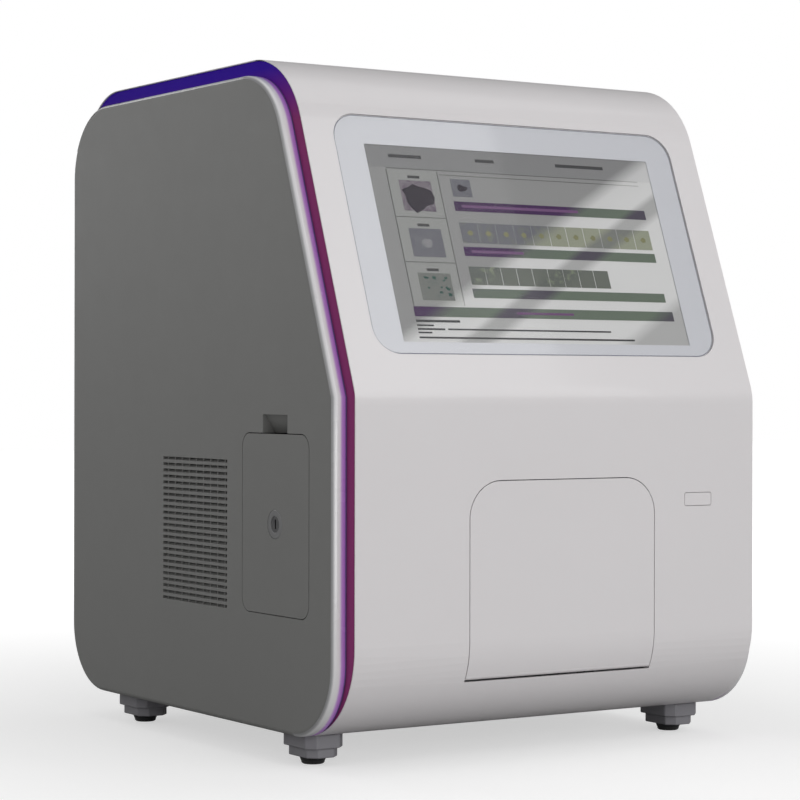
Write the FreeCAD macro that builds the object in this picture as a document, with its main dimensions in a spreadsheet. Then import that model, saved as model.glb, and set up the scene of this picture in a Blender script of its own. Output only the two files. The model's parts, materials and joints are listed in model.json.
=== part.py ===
import FreeCAD, Part
import math
import os
import re

import Sketcher

# Bench analyzer for urine and feces samples, in millimetres.
# X runs to the right seen from the front, Y to the back, Z up.
# The origin is on the table, under the middle of the body.

sizes = {
    # body, seen from the side
    "body_width": 300,
    "body_depth": 339,
    "body_height": 386,
    "crease_height": 192,
    "slope_run": 73,
    "bottom_front_radius": 53,
    "bottom_back_radius": 42,
    "top_back_radius": 48,
    "top_front_radius": 58,
    "foot_height": 18,
    # white covers
    "cover_wall": 3,
    "edge_lip": 0.7,
    "lip_reach": 3.5,
    "seam_gap": 0.6,
    "top_seam_run": 26,
    "bottom_seam_run": 6,
    "back_panel_wall": 2,
    "back_panel_recess": 1,
    "fit_gap": 0.3,
    # side panels and trim
    "panel_standoff": 8.3,
    "panel_inset": 10,
    "panel_wall": 3,
    "panel_edge_radius": 3,
    "panel_back_radius": 45,
    "panel_stud_radius": 4,
    "panel_stud_inset": 34,
    "trim_width": 14,
    "trim_recess": 0.7,
    "trim_gap": 0.1,
    "vent_width": 81,
    "vent_height": 87,
    "vent_centre_y": 0,
    "vent_centre_z": 127.5,
    "vent_slot": 1.8,
    "vent_rows": 24,
    # sample door
    "door_width": 131.4,
    "door_height": 112,
    "door_bottom": 30.8,
    "door_corner_radius": 21,
    "door_gap": 0.5,
    "door_low_gap": 1,
    "door_bead_radius": 2.5,
    "hinge_pin_radius": 1.25,
    "hinge_pin_reach": 6,
    "hinge_boss_width": 8,
    "running_gap": 0.05,
    "door_frame_margin": 6,
    "door_frame_lip": 5,
    "door_frame_head": 12,
    "door_frame_wall": 3,
    "magnet_radius": 3,
    "magnet_wall": 2,
    "strike_wall": 1,
    "magnet_pitch": 80,
    # front button
    "button_width": 20,
    "button_height": 7.5,
    "button_side_inset": 51,
    "button_z": 147.3,
    "button_gap": 0.3,
    "button_length": 9.5,
    "button_travel": 2,
    "button_flange": 1.5,
    # side hatch and its lock
    "hatch_width": 75,
    "hatch_height": 102.5,
    "hatch_inset": 73,
    "hatch_bottom": 66.5,
    "hatch_corner_radius": 8,
    "hatch_gap": 0.5,
    "hatch_barrel_radius": 2,
    "hatch_pivot_rise": 10,
    "hatch_pin_radius": 1,
    "hatch_pin_reach": 6,
    "hatch_boss_width": 8,
    "scoop_width": 28,
    "scoop_height": 10.5,
    "scoop_depth": 8,
    "scoop_top_depth": 2,
    "scoop_wall": 1.5,
    "lock_flange_radius": 8.2,
    "lock_flange_wall": 1.5,
    "lock_barrel_radius": 6,
    "lock_barrel_length": 14.5,
    "lock_plug_radius": 4.6,
    "lock_plug_tail": 3,
    "lock_tail_radius": 2.4,
    "lock_key_length": 5.6,
    "lock_key_width": 1.6,
    "lock_key_depth": 7,
    "lock_nut_flats": 16,
    "lock_nut_wall": 3,
    "cam_length": 44,
    "cam_width": 12,
    "cam_wall": 2,
    # touch screen, measured up the slope from the crease
    "glass_width": 244,
    "glass_low": 24,
    "glass_high": 171,
    "glass_radius": 16,
    "glass_wall": 1.5,
    "module_width": 213,
    "module_low": 26.5,
    "module_high": 157.5,
    "module_wall": 6,
    "bracket_wall": 1.5,
    "bracket_width": 240,
    "bracket_rail": 10,
    "bracket_margin": 6,
    # feet
    "foot_side_inset": 20.7,
    "foot_end_inset": 65,
    "foot_width": 25,
    "foot_depth": 34,
    "foot_step_height": 8,
    "foot_step_inset": 2.2,
    "foot_chamfer": 5,
    "pad_height": 4.5,
    "pad_top_radius": 8,
    "pad_bottom_radius": 6.5,
    # steel frame
    "steel_wall": 1.5,
    "floor_height": 30,
    "floor_wall": 4,
    "floor_front_margin": 26,
    "floor_back_margin": 19,
    "bulkhead_inset": 41.5,
    "bulkhead_top": 340,
    "aperture_margin": 2,
    "tab_width": 12,
    "tab_height": 16,
    "tab_wall": 3,
    "screw_radius": 1.5,
    "screw_head_radius": 3,
    "screw_head_height": 1,
    "screw_length": 6,
    "screw_margin": 9,
    # sample tray and its drive
    "tray_width": 120,
    "tray_length": 110,
    "tray_height": 16,
    "tray_bottom": 62,
    "tray_front_gap": 11.5,
    "rail_x": 50,
    "rail_start": 27,
    "rail_back_gap": 20.5,
    "rail_base_width": 16,
    "rail_base_height": 12,
    "rail_head_width": 12,
    "rail_head_height": 8,
    "runner_width": 20,
    "runner_length": 30,
    "runner_grip": 6,
    "tube_well_radius": 8.2,
    "tube_well_depth": 12,
    "tube_well_x": -38,
    "tube_well_pitch": 28,
    "slide_width": 28,
    "slide_length": 78,
    "slide_depth": 4.6,
    "light_width": 16,
    "light_length": 50,
    "belt_x": 33,
    "belt_width": 6,
    "belt_wall": 1.4,
    "pulley_radius": 8,
    "pulley_flange": 1.2,
    "pulley_bore": 2.5,
    "pulley_side_gap": 0.4,
    "belt_gap": 0.1,
    "drive_pulley_inset": 20,
    "idler_pulley_inset": 34.5,
    "tray_motor_size": 35,
    "tray_motor_length": 28,
    # microscope camera
    "optic_x": 12,
    "optic_reach": 65,
    "frame_x": 84,
    "frame_leg": 8,
    "frame_inset": 33,
    "frame_wall": 8,
    "frame_leg_depth": 20,
    "frame_height": 210,
    "frame_plate_low": 110,
    "block_width": 36,
    "block_depth": 22,
    "block_low": 140,
    "block_height": 45,
    "arm_height": 10,
    "arm_overhang": 16,
    "objective_radius": 12,
    "objective_tip_radius": 7,
    "objective_length": 48,
    "camera_size": 36,
    "camera_height": 32,
    "focus_screw_radius": 3,
    "focus_screw_offset": 28,
    "focus_screw_low": 118,
    "focus_nut_low": 15,
    "focus_nut_height": 15,
    "focus_nut_size": 18,
    "focus_shelf_low": 222,
    "focus_shelf_wall": 4,
    "focus_motor_size": 28,
    "focus_motor_height": 28,
    "lamp_radius": 12,
    "lamp_height": 24,
    # liquids
    "bottle_width": 34,
    "bottle_depth": 44,
    "bottle_height": 74,
    "bottle_gap": 2,
    "bottle_standoff": 20,
    "bottle_corner": 5,
    "bottle_neck_radius": 9,
    "bottle_neck_height": 8,
    "bottle_cap_radius": 11.5,
    "bottle_cap_height": 14,
    "shelf_wall": 2,
    "pump_side_inset": 70,
    "pump_z": 290,
    "pump_size": 50,
    "pump_depth": 30,
    "pump_race_radius": 23,
    "pump_race_bore": 20.5,
    "pump_race_depth": 12,
    "pump_rotor_radius": 12,
    "pump_roller_radius": 4,
    "pump_roller_circle": 14,
    "pump_shaft_radius": 3,
    # electronics and rear fittings
    "board_x": 55,
    "board_z": 255,
    "board_width": 150,
    "board_height": 150,
    "board_wall": 1.6,
    "standoff_radius": 3,
    "standoff_length": 5.5,
    "standoff_margin": 8,
    "port_row_z": 225,
    "usb_x": 30,
    "lan_x": 75,
    "supply_shift": 20,
    "supply_width": 110,
    "supply_depth": 32,
    "supply_height": 52,
    "usb_width": 14.6,
    "usb_height": 16,
    "usb_slot_width": 13,
    "usb_slot_height": 5.2,
    "usb_slot_pitch": 7.6,
    "lan_width": 16,
    "lan_height": 13.6,
    "lan_slot_width": 11.8,
    "lan_slot_height": 8.4,
    "socket_depth": 10,
    "port_gap": 0.4,
    "inlet_side_inset": 55,
    "inlet_z": 140,
    "inlet_width": 28,
    "inlet_height": 48,
    "inlet_depth": 26,
    "inlet_flange": 2.5,
    "inlet_socket_width": 24.4,
    "inlet_socket_height": 16.8,
    "inlet_socket_depth": 17,
    "inlet_socket_drop": 11,
    "inlet_pin_length": 11,
    "inlet_pin_width": 4,
    "inlet_pin_wall": 2,
    "inlet_pin_pitch": 7,
    "rocker_width": 20,
    "rocker_height": 13,
    "rocker_depth": 9,
    "rocker_rise": 13,
    "rocker_tilt": 9,
    "rocker_pin_radius": 1.2,
    "rocker_pin_reach": 1.3,
    "fan_side_inset": 70,
    "fan_z": 110,
    "fan_size": 60,
    "fan_depth": 15,
    "fan_bore": 28,
    "fan_hub_radius": 12,
    "fan_tip_radius": 26.5,
    "fan_blades": 7,
    "fan_blade_wall": 1.4,
    "fan_blade_chord": 8.5,
    "fan_blade_pitch": 35,
    "fan_shaft_radius": 1.5,
    "guard_wire": 1.4,
    "guard_margin": 2,
    "guard_rings": 4,
}

# places that follow from the body's size
places = {
    "hatch_centre_y": "hatch_inset - body_depth / 2",
    "foot_x": "body_width / 2 - foot_side_inset",
    "foot_y": "body_depth / 2 - foot_end_inset",
    "bottle_x": "body_width / 2 - bottle_standoff - bottle_depth",
    "bulkhead_y": "body_depth / 2 - bulkhead_inset",
    "frame_front": "body_depth / 2 - bulkhead_inset - frame_inset",
    "optic_y": "body_depth / 2 - bulkhead_inset - frame_inset - optic_reach",
    "arm_front": "body_depth / 2 - bulkhead_inset - frame_inset - optic_reach - arm_overhang",
    "drive_pulley_y": "body_depth / 2 - bulkhead_inset - drive_pulley_inset",
    "idler_pulley_y": "idler_pulley_inset - body_depth / 2",
    "inlet_x": "inlet_side_inset - body_width / 2",
    "supply_x": "inlet_side_inset + supply_shift - body_width / 2",
    "pump_x": "pump_side_inset - body_width / 2",
    "fan_x": "body_width / 2 - fan_side_inset",
    "button_x": "body_width / 2 - button_side_inset",
}

doc = FreeCAD.newDocument("bench_analyzer")
sheet = doc.addObject("Spreadsheet::Sheet", "Sizes")
for row, (word, number) in enumerate(sizes.items(), start=1):
    cell = "A%d" % row
    sheet.set(cell, str(number))
    sheet.setAlias(cell, word)
doc.recompute()
for row, (word, formula) in enumerate(places.items(), start=1):
    cell = "B%d" % row
    sheet.set(cell, "=" + formula)
    sheet.setAlias(cell, word)
doc.recompute()

nodes = []


# Reading and binding sizes

def size(word):
    return float(sheet.get(word))


def named(formula):
    """A formula of plain size names, turned into one that reads them from the sheet."""
    def full(hit):
        word = hit.group(0)
        return "Sizes." + word if word in sizes or word in places else word

    return re.sub(r"[a-z][a-z0-9_]*", full, formula)


def bind(thing, prop, formula):
    thing.setExpression(prop, named(formula))


def place(thing, x="0", y="0", z="0"):
    for axis, formula in (("x", x), ("y", y), ("z", z)):
        bind(thing, "Placement.Base." + axis, formula)


# Formulas for the places that many pieces share

half_shell = "(body_width / 2 - panel_standoff)"
front = "(-body_depth / 2)"
back = "(body_depth / 2)"
low = "foot_height"
high = "(foot_height + body_height)"
crease = "(foot_height + crease_height)"
slope_rise = "(body_height - crease_height)"
slope_stretch = "sqrt(1 + (slope_run / %s)^2)" % slope_rise
frame_x_out = "(%s - lip_reach)" % half_shell
frame_x_in = "(%s - steel_wall)" % frame_x_out
floor_top = "(floor_height + floor_wall)"
pulley_z = "(floor_height + floor_wall + tray_motor_size / 2)"
cover_in = "(%s + cover_wall)" % front
back_panel_out = "(%s - back_panel_recess)" % back
back_panel_in = "(%s - back_panel_wall)" % back_panel_out
back_panel_low = "(foot_height + bottom_back_radius + 2)"
back_panel_high = "(foot_height + body_height - top_back_radius - 2)"
top_seam = "(%s + slope_run + top_seam_run)" % front
bottom_seam = "(%s + bottom_front_radius + bottom_seam_run)" % front
door_low = "(foot_height + door_bottom)"
door_high = "(%s + door_height)" % door_low
hatch_low = "(foot_height + hatch_bottom)"
hatch_high = "(%s + hatch_height)" % hatch_low
hatch_front = "(hatch_centre_y - hatch_width / 2)"
hatch_back = "(hatch_centre_y + hatch_width / 2)"
hatch_middle = "(%s + hatch_height / 2)" % hatch_low
panel_out = "(body_width / 2)"


# Building blocks

def box(label, x, y, z):
    """A block given by its low and high formula on each axis."""
    block = doc.addObject("Part::Box", label)
    for prop, (start, end) in (("Length", x), ("Width", y), ("Height", z)):
        bind(block, prop, "(%s) - (%s)" % (end, start))
    place(block, x[0], y[0], z[0])
    return block


turned = {
    "X": FreeCAD.Rotation(FreeCAD.Vector(0, 1, 0), 90),
    "Y": FreeCAD.Rotation(FreeCAD.Vector(1, 0, 0), -90),
    "Z": FreeCAD.Rotation(),
}


def rod(label, axis, radius, span, centre):
    """A cylinder along an axis; centre gives the other two places in X, Y, Z order."""
    cylinder = doc.addObject("Part::Cylinder", label)
    bind(cylinder, "Radius", radius)
    bind(cylinder, "Height", "(%s) - (%s)" % (span[1], span[0]))
    cylinder.Placement = FreeCAD.Placement(FreeCAD.Vector(), turned[axis])
    where = list(centre)
    where.insert("XYZ".index(axis), span[0])
    place(cylinder, *where)
    return cylinder


def join(label, *pieces):
    fuse = doc.addObject("Part::MultiFuse", label)
    fuse.Shapes = list(pieces)
    return fuse


def cut(label, base, *tools):
    away = doc.addObject("Part::Cut", label)
    away.Base = base
    away.Tool = tools[0] if len(tools) == 1 else join(label + "_tools", *tools)
    return away


def overlap(label, base, tool):
    common = doc.addObject("Part::Common", label)
    common.Base = base
    common.Tool = tool
    return common


def node(thing):
    """Marks a finished piece; its label names its file."""
    nodes.append(thing)
    return thing


def outline_pad(label, plane, corners, length, reach=("0", "0", "0")):
    """A body padded from a closed outline of straight lines on one origin plane."""
    body = doc.addObject("PartDesign::Body", label)
    sketch = body.newObject("Sketcher::SketchObject", label + "_outline")
    origin_plane = [part for part in body.Origin.OriginFeatures if part.Role == plane][0]
    sketch.AttachmentSupport = [(origin_plane, "")]
    sketch.MapMode = "FlatFace"
    count = len(corners)
    rough = [(math.cos(-2 * math.pi * k / count), math.sin(-2 * math.pi * k / count)) for k in range(count)]
    for k in range(count):
        start = FreeCAD.Vector(100 * rough[k][0], 100 * rough[k][1], 0)
        end = FreeCAD.Vector(100 * rough[(k + 1) % count][0], 100 * rough[(k + 1) % count][1], 0)
        sketch.addGeometry(Part.LineSegment(start, end), False)
    for k in range(count):
        sketch.addConstraint(Sketcher.Constraint("Coincident", k, 2, (k + 1) % count, 1))
    for k, corner in enumerate(corners):
        for kind, guess, formula in (("DistanceX", rough[k][0], corner[0]),
                                     ("DistanceY", rough[k][1], corner[1])):
            index = sketch.addConstraint(Sketcher.Constraint(kind, -1, 1, k, 1, 100 * guess))
            sketch.setExpression("Constraints[%d]" % index, named(formula))
    pad = body.newObject("PartDesign::Pad", label + "_pad")
    pad.Profile = sketch
    bind(pad, "Length", length)
    place(body, *reach)
    doc.recompute()
    return body


def corner_edge(body, corner, direction):
    """The edge of the pad that runs along a direction through one corner of its outline."""
    shape = body.Tip.Shape
    best = None
    for number, edge in enumerate(shape.Edges, start=1):
        if len(edge.Vertexes) != 2:
            continue
        run = edge.Vertexes[1].Point - edge.Vertexes[0].Point
        if run.Length < 1e-6 or abs(abs(run.normalize().dot(direction)) - 1) > 1e-6:
            continue
        offset = edge.Vertexes[0].Point - corner
        distance = (offset - direction * offset.dot(direction)).Length
        if best is None or distance < best[0]:
            best = (distance, "Edge%d" % number)
    return best[1]


def round_corner(body, index, corner, direction, radius):
    name = corner_edge(body, corner, direction)
    earlier = body.Tip
    fillet = body.newObject("PartDesign::Fillet", "%s_round_%d" % (body.Label, index))
    fillet.Base = (earlier, [name])
    bind(fillet, "Radius", radius)
    doc.recompute()
    body.Tip = fillet
    return fillet


def sketch_points(body):
    """The corners of a body's outline in the body's own axes."""
    sketch = body.Group[0]
    return [sketch.Placement.multVec(line.StartPoint) for line in sketch.Geometry]


def side_profile(label, x_from, length, insets, radii):
    """A slab with the body's side outline, set in by a distance at front, top, back and bottom."""
    front_in, top_in, back_in, bottom_in = ["(%s)" % inset for inset in insets]
    face = "(%s + %s)" % (front, front_in)
    lean = "(%s + %s * %s)" % (front, front_in, slope_stretch)
    bend = "(%s + (%s - %s * %s) * %s / slope_run)" % (crease, front_in, front_in, slope_stretch, slope_rise)
    apex_y = "(%s + slope_run * (%s - %s) / %s)" % (lean, slope_rise, top_in, slope_rise)
    corners = [
        (face, "(%s + %s)" % (low, bottom_in)),
        (face, bend),
        (apex_y, "(%s - %s)" % (high, top_in)),
        ("(%s - %s)" % (back, back_in), "(%s - %s)" % (high, top_in)),
        ("(%s - %s)" % (back, back_in), "(%s + %s)" % (low, bottom_in)),
    ]
    body = outline_pad(label, "YZ_Plane", corners, length, (x_from, "0", "0"))
    points = sketch_points(body)
    along = FreeCAD.Vector(1, 0, 0)
    for index, radius in ((0, radii[0]), (2, radii[1]), (3, radii[2]), (4, radii[3])):
        round_corner(body, index, points[index], along, radius)
    return body


def cover_profile(label, x_from, length, inset):
    """A slab that is the same distance inside the white covers all round."""
    radii = ["%s - (%s)" % (radius, inset) for radius in
             ("bottom_front_radius", "top_front_radius", "top_back_radius", "bottom_back_radius")]
    return side_profile(label, x_from, length, [inset] * 4, radii)


def panel_profile(label, x_from, length, inset):
    """A slab with the outline of a side panel, set in all round by a wall."""
    edge_in = "(panel_inset + %s)" % inset
    radii = ["bottom_front_radius - %s" % edge_in, "top_front_radius - %s" % edge_in,
             "panel_back_radius - %s" % inset, "bottom_back_radius - %s" % inset]
    return side_profile(label, x_from, length, [edge_in, edge_in, inset, inset], radii)


def rounded_plate(label, plane, first, second, length, reach, radii):
    """A rectangular plate with a radius for each corner: low-low, low-high, high-high, high-low."""
    corners = [(first[0], second[0]), (first[0], second[1]), (first[1], second[1]), (first[1], second[0])]
    body = outline_pad(label, plane, corners, length, reach)
    points = sketch_points(body)
    along = {"XY_Plane": FreeCAD.Vector(0, 0, 1), "XZ_Plane": FreeCAD.Vector(0, 1, 0),
             "YZ_Plane": FreeCAD.Vector(1, 0, 0)}[plane]
    for index, radius in enumerate(radii):
        if radius:
            round_corner(body, index, points[index], along, radius)
    return body


def mirrored_pair(name, build):
    """Builds a piece for the left and the right side; side is -1 on the left."""
    return [build("%s_%s" % (name, word), side) for word, side in (("left", -1), ("right", 1))]


def span_x(side, near, far):
    """A stretch of X given by its distances from the middle, for one side."""
    return (near, far) if side > 0 else ("-(%s)" % far, "-(%s)" % near)


# White covers

def arched_door_shape(label, grow, low_grow, y_from, length):
    """The door's outline, rounded at its two upper corners, grown by a gap."""
    half = "(door_width / 2 + %s)" % grow
    radius = "door_corner_radius + %s" % grow
    # the pad of an XZ sketch runs towards -Y, so it starts at its far end
    return rounded_plate(label, "XZ_Plane", ("-%s" % half, half),
                         ("%s - %s" % (door_low, low_grow), "%s + %s" % (door_high, grow)),
                         length, ("0", "(%s) + (%s)" % (y_from, length), "0"), [None, radius, radius, None])


def hinge_line(bottom, bead):
    """Y and Z of a hinge line whose bead lies just inside the bottom front radius."""
    radius = "(bottom_front_radius - %s)" % bead
    line_z = "(%s + %s)" % (bottom, bead)
    drop = "(foot_height + bottom_front_radius - %s)" % line_z
    line_y = "(%s + bottom_front_radius - sqrt(%s^2 - %s^2))" % (front, radius, drop)
    return line_y, line_z


door_line_y, door_line_z = hinge_line(door_low, "door_bead_radius")


def slope_placement():
    """Local Y runs up the slope from the crease and local Z out of it."""
    lean = math.degrees(math.atan2(size("slope_run"), size("body_height") - size("crease_height")))
    turn = FreeCAD.Rotation(FreeCAD.Vector(1, 0, 0), 90 - lean)
    origin = FreeCAD.Vector(0, -size("body_depth") / 2, size("foot_height") + size("crease_height"))
    return FreeCAD.Placement(origin, turn)


def on_slope(thing):
    """Takes a piece built in the slope's own axes to its place."""
    own = thing.Placement
    thing.setExpression("Placement.Base.x", None)
    thing.setExpression("Placement.Base.y", None)
    thing.setExpression("Placement.Base.z", None)
    thing.Placement = slope_placement().multiply(own)
    return thing


def slope_plate(label, width, low_edge, high_edge, depth_from, depth, radius):
    plate = rounded_plate(label, "XY_Plane", ("-(%s) / 2" % width, "(%s) / 2" % width), (low_edge, high_edge),
                          depth, ("0", "0", "-(%s) - (%s)" % (depth_from, depth)), [radius] * 4)
    doc.recompute()
    return on_slope(plate)


def make_covers():
    outline = cover_profile("cover_outline", "-" + half_shell, "2 * " + half_shell, "0")
    cavity = cover_profile("cover_cavity", "-" + frame_x_out, "2 * " + frame_x_out, "cover_wall")
    rebates = []
    for word, side in (("left", -1), ("right", 1)):
        start = frame_x_out if side > 0 else "-%s - 1" % half_shell
        rebates.append(cover_profile("rebate_" + word, start, "lip_reach + 1", "edge_lip"))
    shell = cut("cover_shell", outline, cavity, *rebates)

    wide = ("-body_width", "body_width")
    lower_front = box("lower_front_zone", wide, ("-body_depth", bottom_seam),
                      ("-body_height", "foot_height + crease_height / 2"))
    upper_front = box("upper_front_zone", wide, ("-body_depth", top_seam),
                      ("foot_height + crease_height / 2", "2 * body_height"))
    front_zone = join("front_zone", lower_front, upper_front)
    front_shell = overlap("front_shell", shell, front_zone)

    bosses = []
    for word, side in (("left", -1), ("right", 1)):
        across = span_x(side, "door_width / 2 + door_gap", "door_width / 2 + door_gap + hinge_boss_width")
        bosses.append(box("hinge_boss_" + word, across,
                          ("%s - 4" % door_line_y, "%s + 4" % door_line_y),
                          ("%s - 4" % door_line_z, "%s + 5" % door_line_z)))
    boss_pair = overlap("hinge_bosses", join("hinge_boss_blocks", *bosses), outline)
    bored = rod("hinge_boss_bore", "X", "hinge_pin_radius", ("-body_width / 2", "body_width / 2"),
                (door_line_y, door_line_z))

    opening = arched_door_shape("door_opening", "door_gap", "door_low_gap", "-body_depth",
                                "body_depth / 2 + 3 * cover_wall")
    window = slope_plate("screen_window", "module_width + 2 * fit_gap", "module_low - fit_gap",
                         "module_high + fit_gap", "-1", "cover_wall + 2", "fit_gap + 1")
    recess = slope_plate("screen_recess", "glass_width + 2 * fit_gap", "glass_low - fit_gap",
                         "glass_high + fit_gap", "-3", "glass_wall + 3", "glass_radius + fit_gap")
    button_hole = rounded_plate("button_hole", "XZ_Plane",
                                ("button_x - button_width / 2 - button_gap",
                                 "button_x + button_width / 2 + button_gap"),
                                ("button_z - button_height / 2 - button_gap",
                                 "button_z + button_height / 2 + button_gap"),
                                "cover_wall + 2", ("0", "%s + 1" % cover_in, "0"), ["1 + button_gap"] * 4)
    node(cut("front_cover", join("front_with_bosses", front_shell, boss_pair), opening, window, recess,
             button_hole, bored))

    top_zone = box("top_zone", wide, ("%s + seam_gap" % top_seam, "body_depth"),
                   (back_panel_high, "2 * body_height"))
    node(overlap("top_cover", shell, top_zone))
    base_zone = box("base_zone", wide, ("%s + seam_gap" % bottom_seam, "body_depth"),
                    ("-body_height", back_panel_low))
    node(overlap("base_pan", shell, base_zone))


# Side panels and trim

def vent_cutter(label, side):
    """One slot through the panel, repeated upwards."""
    half = "(vent_width / 2)"
    across = span_x(side, "%s - panel_standoff - 2" % panel_out, "%s + 2" % panel_out)
    low_edge = "(vent_centre_z - vent_height / 2)"
    slot = outline_pad(label, "YZ_Plane",
                       [("vent_centre_y - %s" % half, low_edge),
                        ("vent_centre_y - %s" % half, "%s + vent_slot" % low_edge),
                        ("vent_centre_y + %s" % half,
                         "%s + vent_slot" % low_edge), ("vent_centre_y + %s" % half, low_edge)],
                       "panel_standoff + 4", (across[0], "0", "0"))
    one_slot = slot.Tip
    rows = slot.newObject("PartDesign::LinearPattern", label + "_rows")
    rows.Originals = [one_slot]
    rows.Direction = (slot.Group[0], ["V_Axis"])
    bind(rows, "Length", "vent_height - vent_slot")
    bind(rows, "Occurrences", "vent_rows")
    slot.Tip = rows
    doc.recompute()
    return slot


def panel_stud_places():
    """Places of the four studs, inside the panel's corners."""
    return [("%s + panel_inset + panel_stud_inset" % front, "%s + panel_stud_inset + 14" % low),
            ("%s - panel_stud_inset" % back, "%s + panel_stud_inset" % low),
            ("%s - panel_stud_inset" % back, "%s - panel_inset - panel_stud_inset" % high),
            ("%s + slope_run + panel_stud_inset" % front, "%s - panel_inset - panel_stud_inset" % high)]


def hatch_opening(label, grow, x_from, length):
    radius = "hatch_corner_radius + %s" % grow
    return rounded_plate(label, "YZ_Plane", ("%s - %s" % (hatch_front, grow), "%s + %s" % (hatch_back, grow)),
                         ("%s - %s" % (hatch_low, grow), "%s + %s" % (hatch_high, grow)),
                         length, (x_from, "0", "0"), [radius] * 4)


hatch_line_x = "(-%s + hatch_barrel_radius)" % panel_out
hatch_line_z = "(%s + hatch_pivot_rise)" % hatch_low
scoop_low = "(%s + hatch_gap)" % hatch_high
scoop_high = "(%s + scoop_height)" % scoop_low


def make_panel(label, side):
    start = "%s" % half_shell if side > 0 else "-%s" % panel_out
    slab = panel_profile(label + "_slab", start, "panel_standoff", "0")
    flat = FreeCAD.Vector(side, 0, 0)
    outer = max(range(len(slab.Tip.Shape.Faces)),
                key=lambda k: slab.Tip.Shape.Faces[k].CenterOfMass.dot(flat))
    earlier = slab.Tip
    edge = slab.newObject("PartDesign::Fillet", label + "_edge")
    edge.Base = (earlier, ["Face%d" % (outer + 1)])
    bind(edge, "Radius", "panel_edge_radius")
    doc.recompute()
    slab.Tip = edge
    hollow_start = "%s - 1" % half_shell if side > 0 else "-%s + panel_wall" % panel_out
    hollow = panel_profile(label + "_hollow", hollow_start, "panel_standoff - panel_wall + 1", "panel_wall")
    dish = cut(label + "_dish", slab, hollow)
    studs = [rod("%s_stud_%d" % (label, k), "X", "panel_stud_radius",
                 span_x(side, frame_x_out, "%s - panel_wall / 2" % panel_out), where)
             for k, where in enumerate(panel_stud_places())]
    vents = vent_cutter(label + "_vents", side)
    if side > 0:
        return node(cut(label, join(label + "_studded", dish, *studs), vents))

    bowl = box("scoop_bowl", ("-%s + panel_wall / 2" % panel_out,
                              "-%s + scoop_depth + scoop_wall" % panel_out),
               ("hatch_centre_y - scoop_width / 2 - scoop_wall",
                "hatch_centre_y + scoop_width / 2 + scoop_wall"),
               (scoop_low, "%s + scoop_wall" % scoop_high))
    scoop = outline_pad("scoop_cut", "XZ_Plane",
                        [("-%s - 1" % panel_out, "%s - 1" % hatch_high), ("-%s - 1" % panel_out, scoop_high),
                         ("-%s + scoop_top_depth" % panel_out, scoop_high),
                         ("-%s + scoop_depth" % panel_out,
                          scoop_low), ("-%s + scoop_depth" % panel_out, "%s - 1" % hatch_high)],
                        "scoop_width", ("0", "hatch_centre_y + scoop_width / 2", "0"))
    opening = hatch_opening("hatch_opening", "hatch_gap", "-%s - 1" % panel_out, "panel_standoff + 2")
    bores = rod("hatch_bores", "Y", "hatch_pin_radius",
                ("%s - hatch_pin_reach" % hatch_front,
                 "%s + hatch_pin_reach" % hatch_back), (hatch_line_x, hatch_line_z))
    bosses = [box("hatch_boss_" + word, ("-%s + panel_wall / 2" % panel_out,
                                         "-%s + 3 * hatch_barrel_radius" % panel_out), across,
                  ("%s - 2 * hatch_barrel_radius" % hatch_line_z,
                   "%s + 2 * hatch_barrel_radius" % hatch_line_z))
              for word, across in (("front", ("%s - hatch_boss_width" % hatch_front, hatch_front)),
                                   ("back", (hatch_back, "%s + hatch_boss_width" % hatch_back)))]
    body = join(label + "_studded", dish, bowl, *(studs + bosses))
    return node(cut(label, body, vents, scoop, opening, bores))


def make_trim(label, side):
    outer_face = "(%s - trim_recess)" % half_shell
    across = span_x(side, frame_x_out, outer_face)
    ring = cover_profile(label + "_slab", across[0], "lip_reach - trim_recess", "edge_lip + trim_gap")
    hollow = cover_profile(label + "_hollow", "%s - 1" % across[0], "lip_reach + 2", "trim_width")
    panel_room = box(label + "_panel_room", ("-body_width", "body_width"),
                     ("%s - fit_gap" % back_panel_in, "body_depth"),
                     (back_panel_low, back_panel_high))
    return node(cut(label, ring, hollow, panel_room))


# Sample door

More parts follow.
